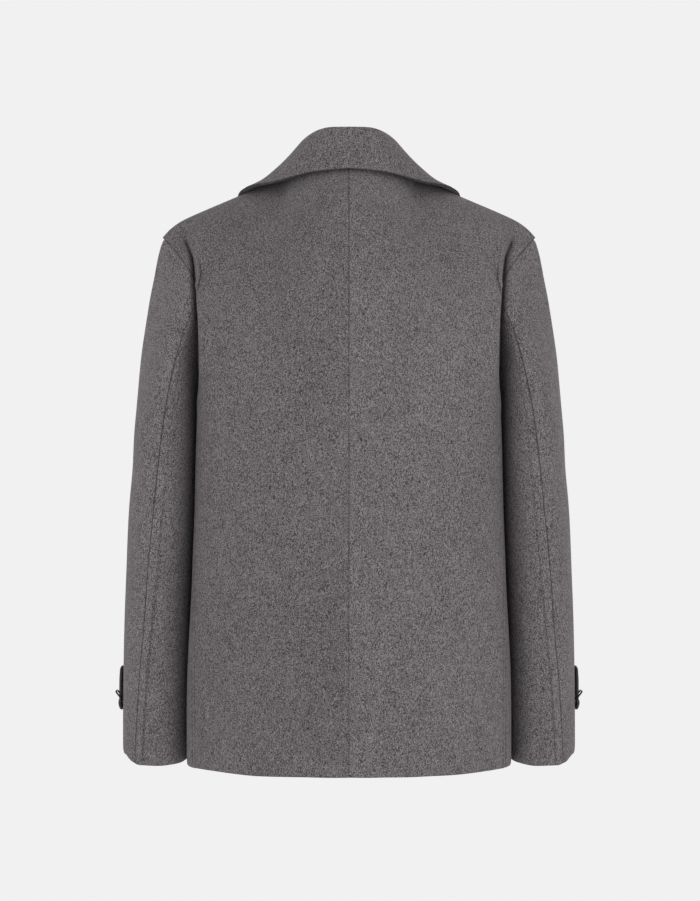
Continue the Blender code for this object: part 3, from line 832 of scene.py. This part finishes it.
# The crease between shoulder blade and arm: how far out it runs, and how deep and wide it is
CREASE_AT = (
    (-0.070, 0.2045), (-0.088, 0.1995), (-0.102, 0.1935), (-0.116, 0.1912), (-0.1305, 0.1895),
    (-0.160, 0.1862), (-0.180, 0.1838), (-0.2205, 0.1806), (-0.300, 0.1780),
)
CREASE_DEEP = (
    (-0.060, 0.0), (-0.068, 0.0020), (-0.078, 0.0060), (-0.088, 0.0115), (-0.102, 0.0170),
    (-0.130, 0.0200), (-0.160, 0.0230), (-0.210, 0.0230), (-0.250, 0.0110), (-0.290, 0.0030),
    (-0.320, 0.0),
)
CREASE_WIDE = (
    (-0.070, 0.0055), (-0.085, 0.0042), (-0.102, 0.0034), (-0.140, 0.0040), (-0.180, 0.0048),
    (-0.240, 0.0060),
)
# How far past the crease the blade's edge may go
WALL_FREE = (
    (-0.122, 0.05), (-0.140, 0.0), (-0.195, 0.0008), (-0.225, 0.0022), (-0.250, 0.0040),
    (-0.270, 0.0070), (-0.295, 0.05),
)
# How far the arm lies forward beside the crease, and how far each side eases out below it
NESTLE = ((-0.110, 0.0), (-0.150, 0.0030), (-0.180, 0.0080), (-0.220, 0.0060), (-0.270, 0.0))
SIDE_OUT = (
    (-0.735, 0.0), (-0.600, 0.0012), (-0.520, 0.0024), (-0.476, 0.0031), (-0.450, 0.0034),
    (-0.410, 0.0040), (-0.370, 0.0050), (-0.340, 0.0056), (-0.300, 0.0052), (-0.285, 0.0042),
    (-0.262, 0.0),
)
BLADE_SHARE = 0.62  # width of the crease on the blade's side, as a share of the arm's side
BLADE_CLEAR = 0.0016  # the blade's edge stops this far inside the crease


def nestled(points, arm, seam=None):
    """The cloth behind the arm drawn forward into the crease beside the shoulder blade.

    Lower down, where the armhole seam lies in the crease, the back goes by nearness to that seam.
    """
    x, y, z = np.moveaxis(points, -1, 0)
    middle = table(z, CREASE_AT)
    wide = table(z, CREASE_WIDE) * np.where(x < middle, BLADE_SHARE, 1.0)
    inside = bell(x, middle, wide)
    at_seam = np.where(x < middle, 1.0, inside) if seam is None else seam
    inside = mix(inside, at_seam, smooth(-0.125, -0.142, z))
    forward = table(z, CREASE_DEEP) * inside + arm * table(z, NESTLE) * smooth(0.235, 0.200, x)
    moved = points.copy()
    moved[..., 1] -= smooth(-0.005, 0.020, y) * forward
    return moved


def eased(points):
    """The sides eased out a little at the hip."""
    points[..., 0] += table(points[..., 2], SIDE_OUT) * smooth(0.12, 0.18, points[..., 0])
    return points


def wavy_hem(points, up, seed):
    """The hem's own slight unevenness, which fades above it."""
    near = np.exp(-(up / 0.018))[:, None]
    deep = np.exp(-(up / 0.060))[:, None]
    points[..., 2] += 0.0008 * ripple(points[..., 0] + points[..., 1], seed, 0.05) * near
    points[..., 2] += 0.0030 * smooth(0.110, 0.190, points[..., 0]) * near
    points[..., 1] += 0.0010 * ripple(points[..., 0] - points[..., 1], seed + 1, 0.09) * deep
    return points


def body_grid(side, across):
    up_below = graded(UNDERARM_Z - HEM_Z, CLOTH_STEP, EDGE_MARKS + STITCH_MARKS, ())
    up_yoke = graded(YOKE_HEIGHT, 0.0032, (), EDGE_MARKS + STITCH_MARKS)
    points = panel(side, across / across[-1], up_below / up_below[-1], up_yoke / YOKE_HEIGHT)
    return points, np.concatenate([up_below[:-1], up_below[-1] + up_yoke])


def evened(points, across, top_rows):
    """The rows below the top edge with the bend under the neck point smoothed across the piece."""
    gap = np.abs(across[:, None] - across[None, :])
    weight = np.exp(-((gap / 0.016) ** 2)) * np.gradient(across)[None, :]
    weight = weight / weight.sum(axis=1, keepdims=True)
    soft = np.einsum("ij,rjk->rik", weight, points)
    inside = smooth(0.0, 0.05, np.minimum(across, across[-1] - across - 0.045))[None, :, None]
    return mix(points, soft, inside * top_rows[:, None, None])


BACK_WIDTH = 0.262
FRONT_WIDTH = 0.40
BACK_SEWN = 0.46  # the side seam is topstitched up to this length from the hem
FRONT_SEWN = 0.475
STITCH_START = 0.004
MIDDLE_CRISP = (2.4, 1.0, 1.0, 1.0)  # the centre back seam is pressed sharper


def bladed(points, from_side, from_hem):
    """The back with a full shoulder blade, its edge held at the crease, and the fold to the arm."""
    x, y, z = np.moveaxis(points, -1, 0)  # views, so x and y move with the points
    behind = smooth(0.015, 0.060, y) * smooth(0.10, 0.175, x)
    crease = table(z, CREASE_AT)
    x += table(z, BLADE_OUT) * behind
    over = np.maximum(x - (crease - BLADE_CLEAR + table(z, WALL_FREE)), 0.0)
    x -= 0.9 * over * behind * smooth(0.0, 0.004, from_side)
    full = table(z, BLADE_FULL) * bell(x, crease - 0.005, 0.006)
    y += full * behind * smooth(0.0, 0.008, from_side)
    past = x - table(z, FOLD_AT)
    arm = points[:, -1:, 0] - table(z, FOLD_AT)
    share = np.clip(past / np.maximum(arm, 0.004), 0.0, 1.0)
    beyond = smooth(-0.0010, 0.0020, past) * (1 - smooth(0.25, 1.0, share))
    y -= table(z, FOLD_DROP) * beyond * behind * (from_hem > UNDERARM_Z - HEM_Z)
    return points


def make_backs():
    marks = EDGE_MARKS + STITCH_MARKS
    across = graded(BACK_WIDTH, CLOTH_STEP, EDGE_MARKS, marks + FOLD_MARKS)
    points, up = body_grid("back", across)
    below_top = smooth(0.0, 0.010, up[-1] - up) * smooth(0.45, 0.60, up)
    points = eased(evened(points, across, below_top))
    from_middle, from_hem = np.meshgrid(across, up)
    from_side = BACK_WIDTH - from_middle
    points = bladed(points, from_side, from_hem)
    for name, right, seed in (("back_left", False, 3), ("back_right", True, 8)):
        side = -1 if right else 1
        at_arm, at_seam = smooth(0.015, 0.0, from_side), smooth(0.020, 0.003, from_side)
        cloth = wavy_hem(nestled(points, at_arm, at_seam), up, seed)
        drape = creased(cloth, BACK_CREASES) * (0.8 if right else 1.0) - pressed(up)
        sewn = from_hem < BACK_SEWN
        dent = seam_relief(from_middle, False, 0.5) + seam_relief(from_side, True) * sewn
        tones = [row[1:] for row in BACK_TONES_AND_PAINTED_SHADE if row[0] == side]
        # tone patches, with painted shade across the yoke, and painted shade and highlight along
        # the side seam's stitching
        tone = BACK_SHADE[side] + creased(cloth, tones) + stitch_painted_shade(from_side) * sewn
        thing, outer, square = wool_piece(
            name, cloth, across, up, right, drape=drape, dent=dent, tone=tone, crisp=MIDDLE_CRISP
        )
        stitched = (up > STITCH_START) & (up < BACK_SEWN)
        sew(outer, square, (stitched, nearest(BACK_WIDTH - across, STITCH)))


def make_fronts():
    marks = EDGE_MARKS + STITCH_MARKS
    across = graded(FRONT_WIDTH, CLOTH_STEP, EDGE_MARKS, marks)
    base, up = body_grid("front", across)
    from_side = np.meshgrid(across, up)[0]
    from_edge = FRONT_WIDTH - from_side
    for name, right, seed in (("front_left", False, 21), ("front_right", True, 27)):
        points = base.copy() if right else lapped(base)
        cloth = wavy_hem(eased(points), up, seed)
        fade = smooth(0.05, 0.09, cloth[..., 0])
        drape = creased(cloth, FRONT_CREASES) * fade - pressed(up)
        dent = seam_relief(from_edge, True) + seam_relief(from_side, False)
        # painted shade and highlight along the front edge's stitching
        tone = 1.0 + stitch_painted_shade(from_edge)
        thing, outer, square = wool_piece(
            name, cloth, across, up, right, drape=drape, dent=dent, tone=tone
        )
        below = (up > STITCH_START) & (up < FRONT_SEWN)
        sew(outer, square, (below, nearest(FRONT_WIDTH - across, STITCH)))


# ---- sleeves
CAP_LENGTH = 0.20
GIRTH = 0.38
HIND_STITCH = 0.0140  # the same as STITCH, on a ring drawn as if it were this wide at the cuff
CUFF_RISE = 0.0085  # how much higher the cuff lies on its outer side
# How bold the hind seam's relief and its painted shade and highlight are, by height
HIND_BOLD = ((-0.30, 0.5), (-0.45, 0.8), (-0.56, 1.3), (-0.75, 1.4))


def uneven_cuff(turns, wander):
    """How far the cuff's edge rises round the arm, most on its outer side, and wanders."""
    around = 2 * math.pi * turns
    rise = CUFF_RISE * smooth(1.30, 2.35, around) * (1 - smooth(3.8, 5.6, around))
    return rise + 0.0009 * ripple(wander, 5, 0.06) + 0.0002


def make_sleeves():
    down_cap = graded(CAP_LENGTH, CLOTH_STEP, EDGE_MARKS + CAP_MARKS, ())
    down_arm = graded(SLEEVE_RINGS[-1][0] - SLEEVE_RINGS[0][0], CLOTH_STEP, (), EDGE_MARKS)
    down = np.concatenate([down_cap, CAP_LENGTH + down_arm[1:]])
    up = (down[-1] - down)[::-1]
    for piece, start, hind_last in (("top_sleeve", 0.25, False), ("under_sleeve", -0.25, True)):
        marks = EDGE_MARKS + tuple(mark * HIND_STITCH / STITCH for mark in STITCH_MARKS)
        across = graded(GIRTH / 2, CLOTH_STEP * 0.8, EDGE_MARKS, marks if hind_last else EDGE_MARKS)
        turns = start + 0.5 * across / across[-1]
        whole = sleeve(np.mod(turns, 1.0), down_cap / CAP_LENGTH, down_arm / down_arm[-1])[::-1]
        from_hind = np.meshgrid(across[-1] - across if hind_last else across, up)[0]
        for suffix, right in SIDES:
            name = piece + suffix
            cloth = whole.copy()
            near = np.exp(-(up / 0.020))[:, None]
            cloth[..., 2] += uneven_cuff(turns, across * 2 + 3.0 * right)[None, :] * near
            cloth = nestled(cloth, 1.0)
            back = smooth(-0.01, 0.03, cloth[..., 1] + 0.03)
            drape = creased(cloth, SLEEVE_CREASES) * (0.35 + 0.65 * back)
            drape = drape - 0.0018 * np.exp(-(up[-1] - up) / 0.004)[:, None] - pressed(up)
            bold = table(cloth[..., 2], HIND_BOLD)
            distance = from_hind * STITCH / HIND_STITCH
            dent = seam_relief(distance, hind_last, bold)
            # painted shade and highlight along the hind seam's stitching, on top of the sleeve's
            # tone
            tone = SLEEVE_SHADE + bold * stitch_painted_shade(distance) * hind_last
            thing, outer, square = wool_piece(
                name, cloth, across, up, right, drape=drape, dent=dent, tone=tone
            )
            if hind_last:
                sew(outer, square, np.s_[2:-30, nearest(from_hind[0], HIND_STITCH)])


# ---- collar and lapels
FALL_LENGTH = 0.06
COLLAR_COLUMN_COUNT = 75  # columns of points from centre back to each front end
STAND_ROW_COUNT = 16


def make_collar():
    falls = graded(FALL_LENGTH, 0.0022, (), EDGE_MARKS + STITCH_MARKS) / FALL_LENGTH
    half = []
    for share in np.linspace(0.0, 1.0, COLLAR_COLUMN_COUNT):
        seam, roll, edge = (
            read(COLLAR_COLUMNS, COLLAR_SECTIONS, name, share) for name in COLLAR_COLUMNS[1:]
        )
        out = (edge - roll) * [1.0, 1.0, 0.0]
        out = out / np.linalg.norm(out) * COLLAR_ROLL
        spread_out = (edge - roll) * COLLAR_FLARE
        steps = np.linspace(0.0, 1.0, STAND_ROW_COUNT)
        stand = [hermite(seam, roll - seam, roll, out, step) for step in steps]
        rest = np.array([0.0, -read(COLLAR_REST_COLUMNS, COLLAR_REST, "forward", share), 0.0])
        fall = [
            hermite(roll, out, edge, spread_out, step) + rest * step**COLLAR_BEND for step in falls
        ]
        half.append(stand + fall[1:])
    half = np.array(half).transpose(1, 0, 2)
    whole = np.concatenate([mirrored(half)[:, :0:-1], half], axis=1)
    up = lengths_along(whole[:, whole.shape[1] // 2])
    across = lengths_along(whole[-1])
    from_edge = up[-1] - np.meshgrid(across, up)[1]
    drape = (0.0006 + 0.0004 * ripple(across, 31, 0.07)[None, :]) * np.exp(-(from_edge / 0.006))
    drape = drape - 0.0005 * bell(from_edge, 0.013, 0.006)
    dent = -0.0004 * bell(from_edge, 0.0085, 0.0012)
    # painted shade over the whole collar
    tone = np.full_like(from_edge, COLLAR_PAINTED_SHADE)
    thing = wool_piece(
        "collar", whole[:, ::-1], across, up, False, COLLAR_WALL,
        drape=drape, dent=dent, tone=tone, layers=2,
    )[0]


def make_lapels():
    front = panel("front", shares_of(240), shares_of(90), shares_of(120))
    for name, grid, start, right, cut_length, cut_area in (
        ("lapel_left", lapped(front), (0.01, 0.01), False, 0.26, 0.0185),
        ("lapel_right", front, UNDER_LAPEL_START, True, 0.20, 0.0145),
    ):
        across = graded(0.12, 0.003, EDGE_MARKS, EDGE_MARKS + STITCH_MARKS)
        up = graded(0.24, 0.003, EDGE_MARKS, EDGE_MARKS + STITCH_MARKS)
        share, rise = lapel_places_at(start, up / up[-1], across / across[-1])
        points = on_panel(grid, share, rise, LAPEL_LIFT)
        near_roll = np.exp(-(across / 0.004))[None, :]
        down = on_panel(grid, share, rise, 0.0) - points
        points = points + down * 0.35 * near_roll[..., None]
        from_edge = np.minimum(across[-1] - across[None, :], up[-1] - up[:, None])
        dent = seam_relief(from_edge, True)[:, ::-1]
        thing, outer, square = wool_piece(name, points[:, ::-1], across, up, right, dent=dent)
        column = len(across) - 1 - nearest(across[-1] - across, STITCH)
        sew(outer, square, np.s_[8:-10, column])
        sew(outer, square, np.s_[nearest(up[-1] - up, STITCH), 10:-8])


def lapel_places_at(start, run, across):
    """Share and rise of each point of a lapel, from its break to its gorge."""
    across = across[None, :]
    run = mix(mix(start[0], start[1], across), 1.0, run[:, None])
    roll_share = mix(1.0, LAPEL_NECK_END, run)
    edge_share = mix(1.0, LAPEL_TIP[0], run)
    edge_rise = mix(1.0, LAPEL_TIP[1], run) - LAPEL_BELLY * 4 * run * (1 - run)
    return mix(roll_share, edge_share, across), mix(1.0, edge_rise, across)


# ---- pocket welts
def make_pockets():
    front = panel("front", shares_of(240), shares_of(120), shares_of(60))
    across = graded(0.030, 0.003, EDGE_MARKS, EDGE_MARKS)
    up = graded(0.135, 0.003, EDGE_MARKS + STITCH_MARKS, EDGE_MARKS + STITCH_MARKS)
    aside, along_welt = np.meshgrid(across / across[-1], up / up[-1])
    share = mix(WELT_LOW[0], WELT_HIGH[0], along_welt) + WELT_SHARE * aside
    points = on_panel(front, share, mix(WELT_LOW[1], WELT_HIGH[1], along_welt), WELT_LIFT)
    from_end = np.minimum(along_welt, 1 - along_welt) * up[-1]
    dent = seam_relief(from_end, True)
    for suffix, right in SIDES:
        thing, outer, square = wool_piece(
            "pocket_welt" + suffix, points, across, up, right, dent=dent
        )
        for ends in (up, up[-1] - up):
            sew(outer, square, np.s_[nearest(ends, STITCH), 5:-5])


# ---- buttons
# Profiles as (radius, height) rows; the disc's starts at the middle of its sunk face
BUTTON_SUNK = 0.0021  # height of the face inside the raised rim
BUTTON_PROFILE = (
    (0.0001, BUTTON_SUNK), (0.0055, BUTTON_SUNK), (0.0084, 0.0023), (0.0096, 0.0029),
    (0.0107, 0.0036), (0.0118, 0.0040), (0.0128, 0.0039), (0.0136, 0.0033), (0.0140, 0.0024),
    (0.0139, 0.0014), (0.0132, 0.0005), (0.0120, 0.0000), (0.0001, 0.0000),
)
BUTTON_SIDES = 64
SHANK_PROFILE = ((0.0022, 0.0003), (0.0019, -0.0004), (0.0021, -0.0010), (0.0026, -0.0016))
SHANK_SIDES = 20
HOLE_AT = 0.0026
HOLE_RADIUS = 0.0011
HOLE_PROFILE = ((HOLE_RADIUS * 1.35, 0.00002), (HOLE_RADIUS, 0.00016), (HOLE_RADIUS * 0.8, 0.00012))
HOLE_SIDES = 16
STRANDS = (-0.0004, 0.0, 0.0004)  # threads side by side between two holes
STRAND_RADIUS = 0.00024
STRAND_PROUD = 0.0003


def turned(profile, centre, sides, base=0):
    """Points and faces of a form turned round an axis along -Y through centre."""
    turn = np.linspace(0.0, 2 * math.pi, sides, endpoint=False)
    verts = []
    for radius, height in profile:
        x, z = centre[0] + radius * np.cos(turn), centre[2] + radius * np.sin(turn)
        verts += np.stack([x, np.full(sides, centre[1] - height), z], axis=1).tolist()
    return verts, band_faces(len(profile), sides, base)


def make_buttons():
    number = 0
    for height in BUTTON_HEIGHTS:
        row = lapped(body_row(height, "front", shares_of(400)))
        for x in (BUTTON_X, -BUTTON_X):
            number += 1
            spot = row[np.argmin(np.abs(row[:, 0] - x))]
            centre = (x, spot[1] - WALL / 2 - BUTTON_SHANK, height)
            name = "button_" + str(number)
            disc = solid(name + "_disc", *turned(BUTTON_PROFILE, centre, BUTTON_SIDES))
            settle(disc, (name,), HORN)
            wells(name, centre)
            # the wound thread between button and cloth
            thread = solid(name + "_shank", *turned(SHANK_PROFILE, centre, SHANK_SIDES))
            settle(thread, (), THREAD)


def wells(name, centre):
    """Four thread holes as dark countersunk cups, and the thread crossing between them."""
    verts = []
    faces = []
    face = centre[1] - BUTTON_SUNK
    for k in range(4):
        turn = math.pi / 4 + k * math.pi / 2
        middle = (centre[0] + HOLE_AT * math.cos(turn), face, centre[2] + HOLE_AT * math.sin(turn))
        base = len(verts)
        cup, sides = turned(HOLE_PROFILE, middle, HOLE_SIDES, base)
        verts += cup
        faces += sides
        faces.append(cap(HOLE_SIDES, base + (len(HOLE_PROFILE) - 1) * HOLE_SIDES))
    settle(solid(name + "_wells", verts, faces), (), HORN)
    out = np.array([0.0, -1.0, 0.0])
    runs = []
    for side in (-1, 1):
        for strand in STRANDS:
            x = centre[0] + side * HOLE_AT * math.cos(math.pi / 4) + strand
            start = np.array([x, face, centre[2] - HOLE_AT * 0.75])
            stop = np.array([x + 0.0001, face, centre[2] + HOLE_AT * 0.75])
            runs.append((start, stop, out, -STRAND_PROUD))
    make_stitches(name + "_thread", runs, THREAD, STRAND_RADIUS)


# ---- cuff tabs
STRAP_WALL = 0.0042
STRAP_SNUG = 0.0010  # how far the straps settle into the nap
STRAP_STEP = 0.0016
LOOP_WIDER = 0.0035  # how much wider than the tab the loop is on each side
TAB_UNDER_LOOP = 0.0100  # how far the tab runs on, through its buckle and under the loop
STRAP_PITCH = 0.0028
STRAP_STITCH = 0.0021
STRAP_SINK = 0.00008
STRAP_THREAD = 0.00020
BUCKLE_POINTS = 96
BUCKLE_POWER = 0.35  # makes the frame's ring a round-cornered oblong
BUCKLE_HANGS = (0.0020, 0.0028)  # how far in and down the buckle hangs from its place in the CAD


def cuff_strip(rows, half_width, rounded):
    """A strap's middle surface on the sleeve's outer side, with a rounded upper end if asked."""
    highest = rows[0][0]
    up, across = (
        graded(size, STRAP_STEP, EDGE_MARKS[:5], EDGE_MARKS[:5])
        for size in (highest - rows[-1][0], 2 * half_width)
    )
    points = []
    for rise in up[::-1]:
        height = highest - rise
        narrow = 1.0
        if rounded:
            short = np.clip(1 - rise / half_width, 0.0, 1.0)
            narrow = math.sqrt(max(1 - short**2, 0.03))
        turns = CUFF_TURN + (across - half_width) * narrow / CUFF_GIRTH
        ring = sleeve_ring(height, turns)
        square = outward(np.gradient(ring, axis=0), ring - sleeve_ring(height - 0.01, turns))
        points.append(ring + square * (table(height, rows) - STRAP_SNUG))
    return np.array(points), across, up


def make_cuffs():
    tab_rows = TAB_ROWS[:-1] + ((TAB_ROWS[-1][0] - TAB_UNDER_LOOP, TAB_ROWS[-1][1]),)
    for name, rows, half_width, rounded in (
        ("cuff_tab", tab_rows, TAB_HALF_WIDTH, True),
        ("cuff_loop", LOOP_ROWS, TAB_HALF_WIDTH + LOOP_WIDER, False),
    ):
        points, across, up = cuff_strip(rows, half_width, rounded)
        for suffix, right in SIDES:
            thing, outer, square = shell(
                name + suffix + "_strap", points, across, up, STRAP_WALL, right
            )
            settle(thing, (name + suffix,), LEATHER)
            if rounded:
                runs = []
                for column in (4, -5):
                    line, facings = outer[3:-8, column], square[3:-8, column]
                    runs += stitches_along(line, facings, STRAP_PITCH, STRAP_STITCH, STRAP_SINK)
                make_stitches(name + suffix + "_stitches", runs, THREAD, STRAP_THREAD)
    for suffix, right in SIDES:
        make_buckle("cuff_buckle" + suffix, -1.0 if right else 1.0)


def tube(line, radius, closed, sides=14):
    """Points and faces of a wire along a line."""
    verts = []
    count = len(line)
    for k in range(count):
        before = line[(k - 1) % count] if closed or k > 0 else line[k]
        after = line[(k + 1) % count] if closed or k < count - 1 else line[k]
        along_wire = (after - before) / np.linalg.norm(after - before)
        first = np.cross(along_wire, [0.3, 0.1, 0.9])
        first = first / np.linalg.norm(first)
        second = np.cross(along_wire, first)
        for s in range(sides):
            turn = 2 * math.pi * s / sides
            around = first * math.cos(turn) + second * math.sin(turn)
            verts.append(tuple(line[k] + around * radius))
    faces = band_faces(count, sides, 0, closed)
    if not closed:
        faces += [cap(sides)[::-1], cap(sides, (count - 1) * sides)]
    return verts, faces


def make_buckle(name, side):
    """The wire frame and, across it, the prong that holds the tab."""
    long, tall = BUCKLE_HALF
    middle = (BUCKLE_AT[0] - BUCKLE_HANGS[0], BUCKLE_AT[1] - BUCKLE_HANGS[1])
    tilt = math.radians(BUCKLE_TILT)

    def placed(y, z, out=0.0):
        x = middle[0] - z * math.sin(tilt) + out * math.cos(tilt)
        height = middle[1] + z * math.cos(tilt) + out * math.sin(tilt)
        return np.array([side * x, BUCKLE_Y + y, height])

    turns = 2 * math.pi * np.arange(BUCKLE_POINTS) / BUCKLE_POINTS
    sideways = powered(np.cos(turns), BUCKLE_POWER) * long
    upward = powered(np.sin(turns), BUCKLE_POWER) * tall
    ring = [placed(y, z) for y, z in zip(sideways, upward)]
    verts, faces = tube(np.array(ring), BUCKLE_WIRE, True)
    settle(solid(name + "_frame", verts, faces), (name,), METAL)
    prong = [
        placed(0.0, mix(-tall, tall * 1.1, share), 0.0009 + 0.0006 * math.sin(math.pi * share))
        for share in np.linspace(0, 1, 16)
    ]
    verts, faces = tube(np.array(prong), BUCKLE_WIRE * 0.7, False)
    settle(solid(name + "_prong", verts, faces), (), METAL)


# ---- set, light and camera
FLOOR_Z = -1.34
FLOOR_RADIUS = 1.9
FLOOR_GREY = 0.86
STUDIO_GREY = 0.880
# Lights: name, place and watts; all of one size, turned to the coat's middle
LIGHTS = (
    ("back_softbox", (1.3, 2.5, -0.45), 9.0),
    ("back_fill", (-1.5, 2.4, -0.35), 9.0),
    ("front_softbox", (-0.9, -2.6, 0.2), 14.0),
)
LIGHT_SIZE = 1.8
COAT_MIDDLE = (0.0, 0.0, -0.34)
CAMERA_PLACE = (-0.00125, 3.8, -0.342)  # level, behind the coat
CAMERA_LENS = 121.75


def placed_in_scene(name, data, place, turn):
    thing = bpy.data.objects.new(name, data)
    thing.location = place
    thing.rotation_euler = turn
    bpy.context.scene.collection.objects.link(thing)
    return thing


def make_set():
    bpy.ops.mesh.primitive_circle_add(
        vertices=96, radius=FLOOR_RADIUS, fill_type="NGON", location=(0.0, 0.0, FLOOR_Z)
    )
    floor = bpy.context.object
    floor.name = "floor"
    material, _, shader = new_material("pale_floor")
    shader.inputs["Base Color"].default_value = (FLOOR_GREY, FLOOR_GREY, FLOOR_GREY, 1.0)
    shader.inputs["Roughness"].default_value = 0.9
    floor.data.materials.append(material)
    world = bpy.data.worlds.new("studio")
    world.use_nodes = True
    sky = world.node_tree.nodes["Background"]
    sky.inputs["Color"].default_value = (STUDIO_GREY, STUDIO_GREY, STUDIO_GREY, 1.0)
    sky.inputs["Strength"].default_value = 1.0
    bpy.context.scene.world = world
    bpy.context.scene.view_settings.view_transform = "Standard"
    for name, place, power in LIGHTS:
        light = bpy.data.lights.new(name, "AREA")
        light.energy = power
        light.size = LIGHT_SIZE
        towards = Vector(COAT_MIDDLE) - Vector(place)
        placed_in_scene(name, light, place, towards.to_track_quat("-Z", "Y").to_euler())
    camera = bpy.data.cameras.new("camera")
    camera.lens = CAMERA_LENS
    camera.sensor_width = 36.0
    turn = (math.pi / 2, 0.0, math.pi)
    bpy.context.scene.camera = placed_in_scene("camera", camera, CAMERA_PLACE, turn)


make_backs()
make_fronts()
make_sleeves()
make_collar()
make_lapels()
make_pockets()
make_buttons()
make_cuffs()
make_stitches("topstitching", STITCHED, THREAD)
make_set()
